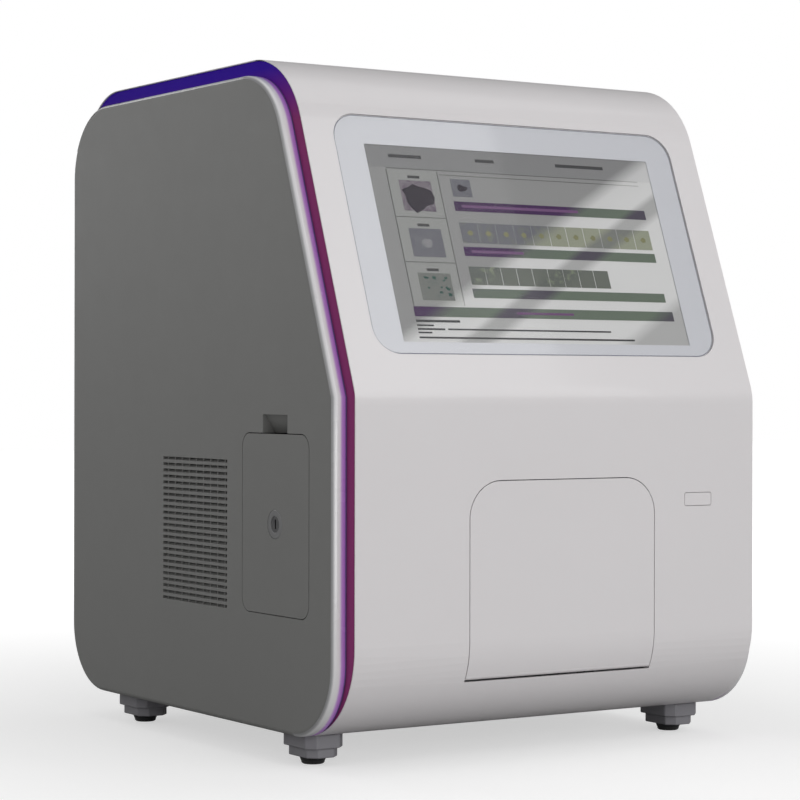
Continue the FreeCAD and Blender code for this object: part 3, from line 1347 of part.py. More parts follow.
def make_fan():
    centre = ("fan_x", "fan_z")
    fan_back = back_panel_in
    fan_front = "(%s - fan_depth)" % fan_back
    half = "fan_size / 2"
    case = rounded_plate("fan_case", "XZ_Plane", ("fan_x - " + half, "fan_x + " + half),
                         ("fan_z - " + half, "fan_z + " + half),
                         "fan_depth", ("0", fan_back, "0"), ["4"] * 4)
    bore = rod("fan_bore_cut", "Y", "fan_bore", ("%s - 1" % fan_front, "%s + 1" % fan_back), centre)
    holes = [rod("fan_hole_%d" % k, "Y", "2", ("%s - 1" % fan_front, "%s + 1" % fan_back),
                 ("fan_x + %d * (%s - 5)" % (sx, half), "fan_z + %d * (%s - 5)" % (sz, half)))
             for k, (sx, sz) in enumerate(((-1, -1), (-1, 1), (1, -1), (1, 1)))]
    stator = rod("fan_stator", "Y", "fan_hub_radius", (fan_front, "%s + 3" % fan_front), centre)
    spokes = [box("fan_spoke_0", ("fan_x - fan_bore - 1", "fan_x + fan_bore + 1"),
                  (fan_front, "%s + 2" % fan_front), ("fan_z - 1.5", "fan_z + 1.5")),
              box("fan_spoke_1", ("fan_x - 1.5", "fan_x + 1.5"), (fan_front, "%s + 2" % fan_front),
                  ("fan_z - fan_bore - 1", "fan_z + fan_bore + 1"))]
    shaft = rod("fan_shaft", "Y", "fan_shaft_radius", (fan_front, "%s - 3" % fan_back), centre)
    node(join("fan_frame", cut("fan_case_cut", case, bore, *holes), stator, shaft, *spokes))

    hub_front = "(%s + 3.4)" % fan_front
    hub_back = "(%s - 1.5)" % fan_back
    hub = rod("fan_hub", "Y", "fan_hub_radius", (hub_front, hub_back), centre)
    blades = [fan_blade("fan_blade_%d" % k, k) for k in range(int(size("fan_blades")))]
    bore = rod("fan_hub_bore", "Y", "fan_shaft_radius + running_gap",
               ("%s - 1" % hub_front, "%s - 2.9" % fan_back), centre)
    node(cut("fan_rotor", join("fan_rotor_blank", hub, *blades), bore))

    guard = ("%s + back_panel_wall / 2 - guard_wire / 2" % back_panel_in,
             "%s + back_panel_wall / 2 + guard_wire / 2" % back_panel_in)
    reach = "(fan_bore + guard_margin)"
    wires = [box("guard_bar_x", ("fan_x - %s" % reach, "fan_x + %s" % reach), guard,
                 ("fan_z - guard_wire / 2", "fan_z + guard_wire / 2")),
             box("guard_bar_z", ("fan_x - guard_wire / 2", "fan_x + guard_wire / 2"), guard,
                 ("fan_z - %s" % reach, "fan_z + %s" % reach))]
    for k in range(1, int(size("guard_rings")) + 1):
        radius = "(%d * fan_bore / guard_rings)" % k
        disc = rod("guard_disc_%d" % k, "Y", "%s + guard_wire / 2" % radius, guard, centre)
        inner = rod("guard_inner_%d" % k, "Y", "%s - guard_wire / 2" % radius,
                    ("%s - 1" % guard[0], "%s + 1" % guard[1]), centre)
        wires.append(cut("guard_ring_%d" % k, disc, inner))
    node(join("fan_guard", *wires))


def fan_blade(label, k):
    """A flat blade, pitched about its own length and turned round the hub."""
    start = size("fan_hub_radius") - 1
    chord = size("fan_blade_chord")
    blade = doc.addObject("Part::Box", label)
    bind(blade, "Length", "fan_tip_radius - fan_hub_radius + 1")
    bind(blade, "Width", "fan_blade_wall")
    bind(blade, "Height", "fan_blade_chord")
    rear = size("body_depth") / 2 - size("back_panel_recess") - size("back_panel_wall")
    depth = rear - size("fan_depth") / 2
    pitch = FreeCAD.Rotation(FreeCAD.Vector(1, 0, 0), 90 - size("fan_blade_pitch"))
    around = FreeCAD.Rotation(FreeCAD.Vector(0, 1, 0), 360.0 * k / size("fan_blades"))
    own = FreeCAD.Placement(FreeCAD.Vector(start, -size("fan_blade_wall") / 2, -chord / 2),
                            FreeCAD.Rotation())
    hub = FreeCAD.Placement(FreeCAD.Vector(size("fan_x"), depth + 1, size("fan_z")), around)
    blade.Placement = hub.multiply(FreeCAD.Placement(FreeCAD.Vector(), pitch)).multiply(own)
    return blade


def make_back_panel():
    plate = box("back_panel_plate", ("-%s + seam_gap" % half_shell, "%s - seam_gap" % half_shell),
                (back_panel_in, back_panel_out), ("%s + fit_gap" % back_panel_low,
                                                  "%s - fit_gap" % back_panel_high))
    through = ("%s - 1" % back_panel_in, "%s + 1" % back_panel_out)
    cuts = [inlet_plate("inlet_cutout", "fit_gap", "%s - 1" % back_panel_in, "back_panel_wall + 2"),
            rod("fan_cutout", "Y", "fan_bore + guard_margin", through, ("fan_x", "fan_z"))]
    for label, centre, width, height in (("usb", "usb_x", "usb_width", "usb_height"),
                                         ("lan", "lan_x", "lan_width", "lan_height")):
        cuts.append(box(label + "_cutout", ("%s - %s / 2 - port_gap" % (centre, width),
                                            "%s + %s / 2 + port_gap" % (centre, width)), through,
                        ("port_row_z - %s / 2 - port_gap" % height,
                         "port_row_z + %s / 2 + port_gap" % height)))
    for word, side in (("left", -1), ("right", 1)):
        for k, height in enumerate(screw_heights()):
            cuts.append(rod("panel_hole_%s_%d" % (word, k), "Y", "screw_radius", through,
                            (screw_x(side), height)))
    node(cut("back_panel", plate, *cuts))

    screws = []
    for word, side in (("left", -1), ("right", 1)):
        for k, height in enumerate(screw_heights()):
            head = rod("screw_head_%s_%d" % (word, k), "Y", "screw_head_radius",
                       (back_panel_out, "%s + screw_head_height" % back_panel_out),
                       (screw_x(side), height))
            shank = rod("screw_shank_%s_%d" % (word, k), "Y", "screw_radius - 0.02",
                        ("%s - screw_length" % back_panel_out, back_panel_out),
                        (screw_x(side), height))
            screws.append(join("screw_%s_%d" % (word, k), head, shank))
    node(join("case_screws", *screws))


# The whole instrument

make_covers()
mirrored_pair("side_panel", make_panel)
mirrored_pair("trim_strip", make_trim)
make_door()
make_button()
make_hatch()
make_lock()
make_screen()
make_feet()
make_frame()
make_tray()
make_optics()
make_bottles()
make_pump()
make_electronics()
make_inlet()
make_fan()
make_back_panel()
doc.recompute()

# Checks, then one file for each piece

problems = []
for thing in doc.Objects:
    if "Invalid" in thing.State or "Error" in thing.State:
        problems.append("%s is %s" % (thing.Label, thing.State))
for piece in nodes:
    shape = piece.Shape
    if shape.isNull() or not shape.isValid() or not shape.Solids:
        problems.append("%s has no valid solid" % piece.Label)
labels = [piece.Label for piece in nodes]
if len(set(labels)) != len(labels):
    problems.append("two pieces share a label")
if problems:
    raise RuntimeError("; ".join(problems))

os.makedirs("parts", exist_ok=True)
for piece in nodes:
    piece.Shape.exportStep("parts/%s.step" % piece.Label)
    print("%-24s %3d solid(s) %12.1f mm3" % (piece.Label, len(piece.Shape.Solids), piece.Shape.Volume))
print(len(nodes), "pieces")
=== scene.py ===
import json
import math
import random

import bmesh
import bpy
from mathutils import Matrix, Vector

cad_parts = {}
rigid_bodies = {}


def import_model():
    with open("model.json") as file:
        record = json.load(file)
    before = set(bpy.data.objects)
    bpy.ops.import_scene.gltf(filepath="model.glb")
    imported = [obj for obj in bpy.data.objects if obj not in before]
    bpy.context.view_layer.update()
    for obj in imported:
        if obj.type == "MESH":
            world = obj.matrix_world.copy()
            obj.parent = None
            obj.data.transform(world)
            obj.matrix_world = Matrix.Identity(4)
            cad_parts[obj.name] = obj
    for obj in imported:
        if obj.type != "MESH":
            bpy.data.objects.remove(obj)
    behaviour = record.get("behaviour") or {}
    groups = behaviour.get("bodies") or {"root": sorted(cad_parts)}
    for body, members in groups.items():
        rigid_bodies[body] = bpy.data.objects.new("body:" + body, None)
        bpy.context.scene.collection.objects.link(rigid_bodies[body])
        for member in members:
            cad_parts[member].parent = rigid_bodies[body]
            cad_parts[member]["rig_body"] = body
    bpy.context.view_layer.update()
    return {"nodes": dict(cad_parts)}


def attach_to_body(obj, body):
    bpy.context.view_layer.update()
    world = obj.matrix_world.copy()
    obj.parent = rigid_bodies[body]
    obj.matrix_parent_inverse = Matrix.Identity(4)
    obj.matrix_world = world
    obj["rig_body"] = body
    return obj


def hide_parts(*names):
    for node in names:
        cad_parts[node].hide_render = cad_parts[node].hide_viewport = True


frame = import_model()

# Bench analyzer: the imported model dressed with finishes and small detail.
# Lengths in the dictionaries are millimetres, everything sent to Blender is metres.

mm = 0.001
scene = bpy.context.scene
nodes = frame["nodes"]
print("frame loaded:", len(nodes), "nodes")


# Mesh helpers

def link(name, mesh):
    thing = bpy.data.objects.new(name, mesh)
    scene.collection.objects.link(thing)
    return thing


def toMetres(bm):
    bmesh.ops.scale(bm, vec=(mm, mm, mm), verts=bm.verts)
    return bm


def pieceFrom(bm, name, material):
    # bm is in millimetres in the frame's own place
    toMetres(bm)
    bmesh.ops.recalc_face_normals(bm, faces=bm.faces)
    mesh = bpy.data.meshes.new(name)
    bm.to_mesh(mesh)
    bm.free()
    mesh.materials.append(material)
    return link(name, mesh)


def bake(piece):
    # turns the modifiers' result into the piece's plain mesh
    graph = bpy.context.evaluated_depsgraph_get()
    plain = bpy.data.meshes.new_from_object(piece.evaluated_get(graph))
    rough = piece.data
    piece.modifiers.clear()
    piece.data = plain
    bpy.data.meshes.remove(rough)
    plain.name = piece.name
    return piece


def soften(piece, width, segments=2, angle=32):
    # rounded edges that catch the light, with flat faces left flat
    mesh = piece.data
    for face in mesh.polygons:
        face.use_smooth = True
    mesh.set_sharp_from_angle(angle=math.radians(angle))
    if width > 0:
        edge = piece.modifiers.new("edge", "BEVEL")
        edge.width = width * mm
        edge.segments = segments
        edge.limit_method = "ANGLE"
        edge.angle_limit = math.radians(angle)
        edge.use_clamp_overlap = True
    shade = piece.modifiers.new("shade", "WEIGHTED_NORMAL")
    shade.keep_sharp = True
    shade.weight = 60
    return bake(piece)


def attach(piece, node, replace=True):
    # rides on the node's body; replace hides the node that the piece stands for
    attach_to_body(piece, nodes[node]["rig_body"])
    if replace:
        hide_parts(node)
    return piece


def nodeCopy(node):
    # the node's triangles, joined and with flat faces made whole
    bm = bmesh.new()
    bm.from_mesh(nodes[node].data)
    bmesh.ops.remove_doubles(bm, verts=bm.verts, dist=0.000002)
    bmesh.ops.dissolve_limit(bm, angle_limit=math.radians(0.4), verts=bm.verts, edges=bm.edges)
    return bm


def dress(node, material, edge=0.3, segments=2, angle=32, name=None):
    bm = nodeCopy(node)
    mesh = bpy.data.meshes.new(name or node + "_skin")
    bm.to_mesh(mesh)
    bm.free()
    mesh.materials.append(material)
    piece = link(mesh.name, mesh)
    soften(piece, edge, segments, angle)
    return attach(piece, node)


def block(bm, low, high):
    # a rectangular block between two corners
    size = Vector(high) - Vector(low)
    middle = (Vector(high) + Vector(low)) / 2
    shape = Matrix.Translation(middle) @ Matrix.Diagonal((*size, 1))
    return bmesh.ops.create_cube(bm, size=1, matrix=shape)["verts"]


def turnTo(axis):
    # the turn that takes local Z to an axis
    return {"X": Matrix.Rotation(math.radians(90), 4, "Y"),
            "-X": Matrix.Rotation(math.radians(-90), 4, "Y"),
            "Y": Matrix.Rotation(math.radians(-90), 4, "X"),
            "-Y": Matrix.Rotation(math.radians(90), 4, "X"),
            "Z": Matrix.Identity(4)}[axis]


def lathe(bm, profile, axis, centre, steps=48):
    # profile is a list of (radius, height); zero radius closes to a pole
    put = Matrix.Translation(Vector(centre)) @ turnTo(axis)
    rings = []
    for radius, height in profile:
        if radius < 1e-6:
            rings.append([bm.verts.new(put @ Vector((0, 0, height)))])
            continue
        rings.append([bm.verts.new(put @ Vector((radius * math.cos(2 * math.pi * k / steps),
                                                 radius * math.sin(2 * math.pi * k / steps), height)))
                      for k in range(steps)])
    for near, far in zip(rings, rings[1:]):
        for k in range(steps):
            after = (k + 1) % steps
            if len(near) == 1 and len(far) == 1:
                continue
            if len(near) == 1:
                bm.faces.new((near[0], far[k], far[after]))
            elif len(far) == 1:
                bm.faces.new((near[k], far[0], near[after]))
            else:
                bm.faces.new((near[k], far[k], far[after], near[after]))
    return bm


def roundedOutline(x0, x1, y0, y1, radius, steps=8):
    points = []
    corners = ((x1, y0, -90), (x1, y1, 0), (x0, y1, 90), (x0, y0, 180))
    for x, y, start in corners:
        cx = x - radius if x == x1 else x + radius
        cy = y - radius if y == y1 else y + radius
        for k in range(steps + 1):
            angle = math.radians(start + 90 * k / steps)
            points.append((cx + radius * math.cos(angle), cy + radius * math.sin(angle)))
    return points


def carve(piece, cutter):
    # takes the cutter's shape out of the piece
    cut = piece.modifiers.new("cut", "BOOLEAN")
    cut.operation = "DIFFERENCE"
    cut.solver = "EXACT"
    cut.object = cutter
    bake(piece)
    bpy.data.objects.remove(cutter)
    return piece


def slab(bm, outline, depths, put):
    # extrudes an outline between two depths; put maps (x, y, depth) to a place
    rings = [[bm.verts.new(put(x, y, depth)) for x, y in outline] for depth in depths]
    count = len(outline)
    for k in range(count):
        after = (k + 1) % count
        bm.faces.new((rings[0][k], rings[0][after], rings[1][after], rings[1][k]))
    bm.faces.new(rings[0][::-1])
    bm.faces.new(rings[1])


def frameSlab(bm, outer, inner, depths, put):
    # a slab with a window; both outlines have the same number of points
    count = len(outer)
    grid = [[[bm.verts.new(put(x, y, depth)) for x, y in line] for line in (outer, inner)] for depth in depths]
    for k in range(count):
        after = (k + 1) % count
        for side in (0, 1):
            bm.faces.new((grid[0][side][k], grid[0][side][after], grid[1][side][after], grid[1][side][k]))
        for level in (0, 1):
            bm.faces.new((grid[level][0][k], grid[level][0][after], grid[level][1][after], grid[level][1][k]))


# Geometry Nodes trees

def newTree(name, inputs):
    tree = bpy.data.node_groups.new(name, "GeometryNodeTree")
    tree.interface.new_socket("Geometry", in_out="INPUT", socket_type="NodeSocketGeometry")
    for label, kind, start in inputs:
        socket = tree.interface.new_socket(label, in_out="INPUT", socket_type="NodeSocket" + kind)
        if start is not None:
            socket.default_value = start
    tree.interface.new_socket("Geometry", in_out="OUTPUT", socket_type="NodeSocketGeometry")
    given = tree.nodes.new("NodeGroupInput")
    made = tree.nodes.new("NodeGroupOutput")
    return tree, tree.nodes, tree.links, given, made


def endTree(parts, links, given, made, instances):
    real = parts.new("GeometryNodeRealizeInstances")
    paint = parts.new("GeometryNodeSetMaterial")
    links.new(instances, real.inputs["Geometry"])
    links.new(real.outputs["Geometry"], paint.inputs["Geometry"])
    links.new(given.outputs["Material"], paint.inputs["Material"])
    links.new(paint.outputs["Geometry"], made.inputs["Geometry"])


def shapeOf(parts, links, given):
    info = parts.new("GeometryNodeObjectInfo")
    info.transform_space = "ORIGINAL"
    links.new(given.outputs["Shape"], info.inputs["Object"])
    return info.outputs["Geometry"]


def makeFieldTree():
    # rows and columns of one shape
    tree, parts, links, given, made = newTree("field", (
        ("Shape", "Object", None), ("Material", "Material", None), ("Start", "Vector", None),
        ("Across", "Vector", None), ("Columns", "Int", 1), ("Up", "Vector", None), ("Rows", "Int", 1)))
    across = parts.new("GeometryNodeMeshLine")
    up = parts.new("GeometryNodeMeshLine")
    for line, count, offset in ((across, "Columns", "Across"), (up, "Rows", "Up")):
        line.mode = "OFFSET"
        links.new(given.outputs[count], line.inputs["Count"])
        links.new(given.outputs[offset], line.inputs["Offset"])
    links.new(given.outputs["Start"], across.inputs["Start Location"])
    grid = parts.new("GeometryNodeInstanceOnPoints")
    links.new(across.outputs["Mesh"], grid.inputs["Points"])
    links.new(up.outputs["Mesh"], grid.inputs["Instance"])
    spots = parts.new("GeometryNodeRealizeInstances")
    links.new(grid.outputs["Instances"], spots.inputs["Geometry"])
    copies = parts.new("GeometryNodeInstanceOnPoints")
    links.new(spots.outputs["Geometry"], copies.inputs["Points"])
    links.new(shapeOf(parts, links, given), copies.inputs["Instance"])
    endTree(parts, links, given, made, copies.outputs["Instances"])
    return tree


def makeRingTree():
    # one shape set out round an axis; Turn takes local Z to that axis
    tree, parts, links, given, made = newTree("ring", (
        ("Shape", "Object", None), ("Material", "Material", None), ("Count", "Int", 12),
        ("Radius", "Float", 0.01), ("Sweep", "Float", 2 * math.pi), ("Turn", "Rotation", None),
        ("Centre", "Vector", None)))
    line = parts.new("GeometryNodeMeshLine")
    links.new(given.outputs["Count"], line.inputs["Count"])
    line.inputs["Offset"].default_value = (0, 0, 0)
    number = parts.new("GeometryNodeInputIndex")
    share = parts.new("ShaderNodeMath")
    share.operation = "DIVIDE"
    links.new(number.outputs["Index"], share.inputs[0])
    links.new(given.outputs["Count"], share.inputs[1])
    angle = parts.new("ShaderNodeMath")
    angle.operation = "MULTIPLY"
    links.new(share.outputs[0], angle.inputs[0])
    links.new(given.outputs["Sweep"], angle.inputs[1])
    turn = parts.new("ShaderNodeCombineXYZ")
    links.new(angle.outputs[0], turn.inputs["Z"])
    copies = parts.new("GeometryNodeInstanceOnPoints")
    links.new(line.outputs["Mesh"], copies.inputs["Points"])
    links.new(shapeOf(parts, links, given), copies.inputs["Instance"])
    links.new(turn.outputs["Vector"], copies.inputs["Rotation"])
    reach = parts.new("ShaderNodeCombineXYZ")
    links.new(given.outputs["Radius"], reach.inputs["X"])
    outwards = parts.new("GeometryNodeTranslateInstances")
    outwards.inputs["Local Space"].default_value = True
    links.new(copies.outputs["Instances"], outwards.inputs["Instances"])
    links.new(reach.outputs["Vector"], outwards.inputs["Translation"])
    put = parts.new("GeometryNodeTransform")
    links.new(outwards.outputs["Instances"], put.inputs["Geometry"])
    links.new(given.outputs["Centre"], put.inputs["Translation"])
    links.new(given.outputs["Turn"], put.inputs["Rotation"])
    endTree(parts, links, given, made, put.outputs["Geometry"])
    return tree


def makePlacesTree():
    # one shape at every point of the holder's mesh, each turned about its own axis by a seeded angle
    tree, parts, links, given, made = newTree("places", (
        ("Shape", "Object", None), ("Material", "Material", None), ("Turn", "Rotation", None),
        ("Spread", "Float", 0.0), ("Seed", "Int", 7)))
    copies = parts.new("GeometryNodeInstanceOnPoints")
    links.new(given.outputs["Geometry"], copies.inputs["Points"])
    links.new(shapeOf(parts, links, given), copies.inputs["Instance"])
    links.new(given.outputs["Turn"], copies.inputs["Rotation"])
    spin = parts.new("FunctionNodeRandomValue")
    spin.data_type = "FLOAT"
    links.new(given.outputs["Seed"], spin.inputs["Seed"])
    links.new(given.outputs["Spread"], spin.inputs[3])
    about = parts.new("ShaderNodeCombineXYZ")
    links.new(spin.outputs[1], about.inputs["Z"])
    turned = parts.new("GeometryNodeRotateInstances")
    turned.inputs["Local Space"].default_value = True
    links.new(copies.outputs["Instances"], turned.inputs["Instances"])
    links.new(about.outputs["Vector"], turned.inputs["Rotation"])
    endTree(parts, links, given, made, turned.outputs["Instances"])
    return tree


def makePathTree():
    # a round section carried along the holder's curve
    tree, parts, links, given, made = newTree("path", (
        ("Material", "Material", None), ("Radius", "Float", 0.001), ("Sides", "Int", 12)))
    section = parts.new("GeometryNodeCurvePrimitiveCircle")
    links.new(given.outputs["Sides"], section.inputs["Resolution"])
    links.new(given.outputs["Radius"], section.inputs["Radius"])
    sweep = parts.new("GeometryNodeCurveToMesh")
    sweep.inputs["Fill Caps"].default_value = True
    links.new(given.outputs["Geometry"], sweep.inputs["Curve"])
    links.new(section.outputs["Curve"], sweep.inputs["Profile Curve"])
    endTree(parts, links, given, made, sweep.outputs["Mesh"])
    return tree


fieldTree = makeFieldTree()
ringTree = makeRingTree()
placesTree = makePlacesTree()
pathTree = makePathTree()


def template(bm, edge=0.0, segments=1):
    # a small shape for the trees to repeat, in metres about its own origin
    toMetres(bm)
    bmesh.ops.recalc_face_normals(bm, faces=bm.faces)
    mesh = bpy.data.meshes.new("template")
    bm.to_mesh(mesh)
    bm.free()
    shape = link("template", mesh)
    if edge:
        soften(shape, edge, segments)
    return shape


def grow(tree, name, holder=None, **values):
    # runs a tree on a holder and leaves a plain mesh; spare shapes are removed afterwards
    if holder is None:
        holder = link(name, bpy.data.meshes.new(name))
    modifier = holder.modifiers.new(tree.name, "NODES")
    modifier.node_group = tree
    for socket in tree.interface.items_tree:
        if socket.in_out == "INPUT" and socket.name in values:
            modifier[socket.identifier] = values[socket.name]
    graph = bpy.context.evaluated_depsgraph_get()
    plain = bpy.data.meshes.new_from_object(holder.evaluated_get(graph))
    plain.name = name
    bpy.data.objects.remove(holder)
    shape = values.get("Shape")
    if shape:
        bpy.data.objects.remove(shape)
    return link(name, plain)


def metres(*numbers):
    return tuple(number * mm for number in numbers)


def field(name, shape, material, start, across, columns, up=(0, 0, 0), rows=1):
    return grow(fieldTree, name, Shape=shape, Material=material, Start=metres(*start), Across=metres(*across),
                Columns=columns, Up=metres(*up), Rows=rows)


def ring(name, shape, material, count, radius, axis, centre, sweep=2 * math.pi):
    return grow(ringTree, name, Shape=shape, Material=material, Count=count, Radius=radius * mm, Sweep=sweep,
                Turn=turnTo(axis).to_euler(), Centre=metres(*centre))


def places(name, shape, material, spots, axis, spread=0.0, seed=7):
    marks = bpy.data.meshes.new(name)
    marks.from_pydata([metres(*spot) for spot in spots], [], [])
    return grow(placesTree, name, holder=link(name, marks), Shape=shape, Material=material,
                Turn=turnTo(axis).to_euler(), Spread=spread, Seed=seed)


def path(name, material, lines, radius, sides=12):
    # lines is a list of (points, closed)
    curve = bpy.data.curves.new(name, "CURVE")
    curve.dimensions = "3D"
    for points, closed in lines:
        line = curve.splines.new("POLY")
        line.points.add(len(points) - 1)
        for mark, point in zip(line.points, points):
            mark.co = (*metres(*point), 1)
        line.use_cyclic_u = closed
    piece = grow(pathTree, name, holder=link(name, curve), Material=material, Radius=radius * mm, Sides=sides)
    for face in piece.data.polygons:
        face.use_smooth = len(face.vertices) == 4
    return piece


print("trees ready")


# Materials

def surface(name, colour, vary=0.05, varyScale=14, rough=0.4, roughVary=0.06, roughScale=60, grain=0.0,
            grainScale=1500, stretch=(1, 1, 1), metallic=0.0, coat=0.0, coatRough=0.08, ior=1.5, alpha=1.0,
            sheen=0.0, glow=0.0):
    # one procedural finish: cloudy colour, uneven gloss and a fine grain, all from object coordinates
    material = bpy.data.materials.new(name)
    material.use_nodes = True
    parts = material.node_tree.nodes
    links = material.node_tree.links
    shader = parts["Principled BSDF"]
    where = parts.new("ShaderNodeTexCoord")
    stretched = parts.new("ShaderNodeMapping")
    stretched.inputs["Scale"].default_value = stretch
    links.new(where.outputs["Object"], stretched.inputs["Vector"])

    def cloud(scale, detail):
        noise = parts.new("ShaderNodeTexNoise")
        noise.inputs["Scale"].default_value = scale
        noise.inputs["Detail"].default_value = detail
        links.new(stretched.outputs["Vector"], noise.inputs["Vector"])
        return noise.outputs["Fac"]

    blend = parts.new("ShaderNodeMix")
    blend.data_type = "RGBA"
    blend.inputs["A"].default_value = tuple(max(0, c * (1 - vary)) for c in colour) + (1,)
    blend.inputs["B"].default_value = tuple(min(1, c * (1 + vary)) for c in colour) + (1,)
    links.new(cloud(varyScale, 3), blend.inputs["Factor"])
    links.new(blend.outputs["Result"], shader.inputs["Base Color"])
    spread = parts.new("ShaderNodeMapRange")
    spread.inputs["To Min"].default_value = max(0.02, rough - roughVary)
    spread.inputs["To Max"].default_value = min(1, rough + roughVary)
    links.new(cloud(roughScale, 2), spread.inputs["Value"])
    links.new(spread.outputs["Result"], shader.inputs["Roughness"])
    if grain > 0:
        bump = parts.new("ShaderNodeBump")
        bump.inputs["Strength"].default_value = min(1, grain)
        bump.inputs["Distance"].default_value = 0.0002
        links.new(cloud(grainScale, 2), bump.inputs["Height"])
        links.new(bump.outputs["Normal"], shader.inputs["Normal"])
    shader.inputs["Metallic"].default_value = metallic
    shader.inputs["Coat Weight"].default_value = coat
    shader.inputs["Coat Roughness"].default_value = coatRough
    shader.inputs["IOR"].default_value = ior
    shader.inputs["Alpha"].default_value = alpha
    shader.inputs["Sheen Weight"].default_value = sheen
    if glow:
        links.new(blend.outputs["Result"], shader.inputs["Emission Color"])
        shader.inputs["Emission Strength"].default_value = glow
    return material


# the slope's screen: its glass and the page behind it, as heights up the slope
screen = {"lean": math.atan2(73, 194), "foldY": -169.5, "foldZ": 210.0, "glassHalf": 122.0, "glassLow": 24.0,
          "glassHigh": 171.0, "glassRadius": 16.0, "glassThick": 1.0, "pageHalf": 102.5, "pageLow": 31.4,
          "pageHigh": 153.0, "line": 0.7}

wet = dict(rough=0.35, coat=0.15, coatRough=0.05, ior=1.3)     # the pictures lie under polished glass

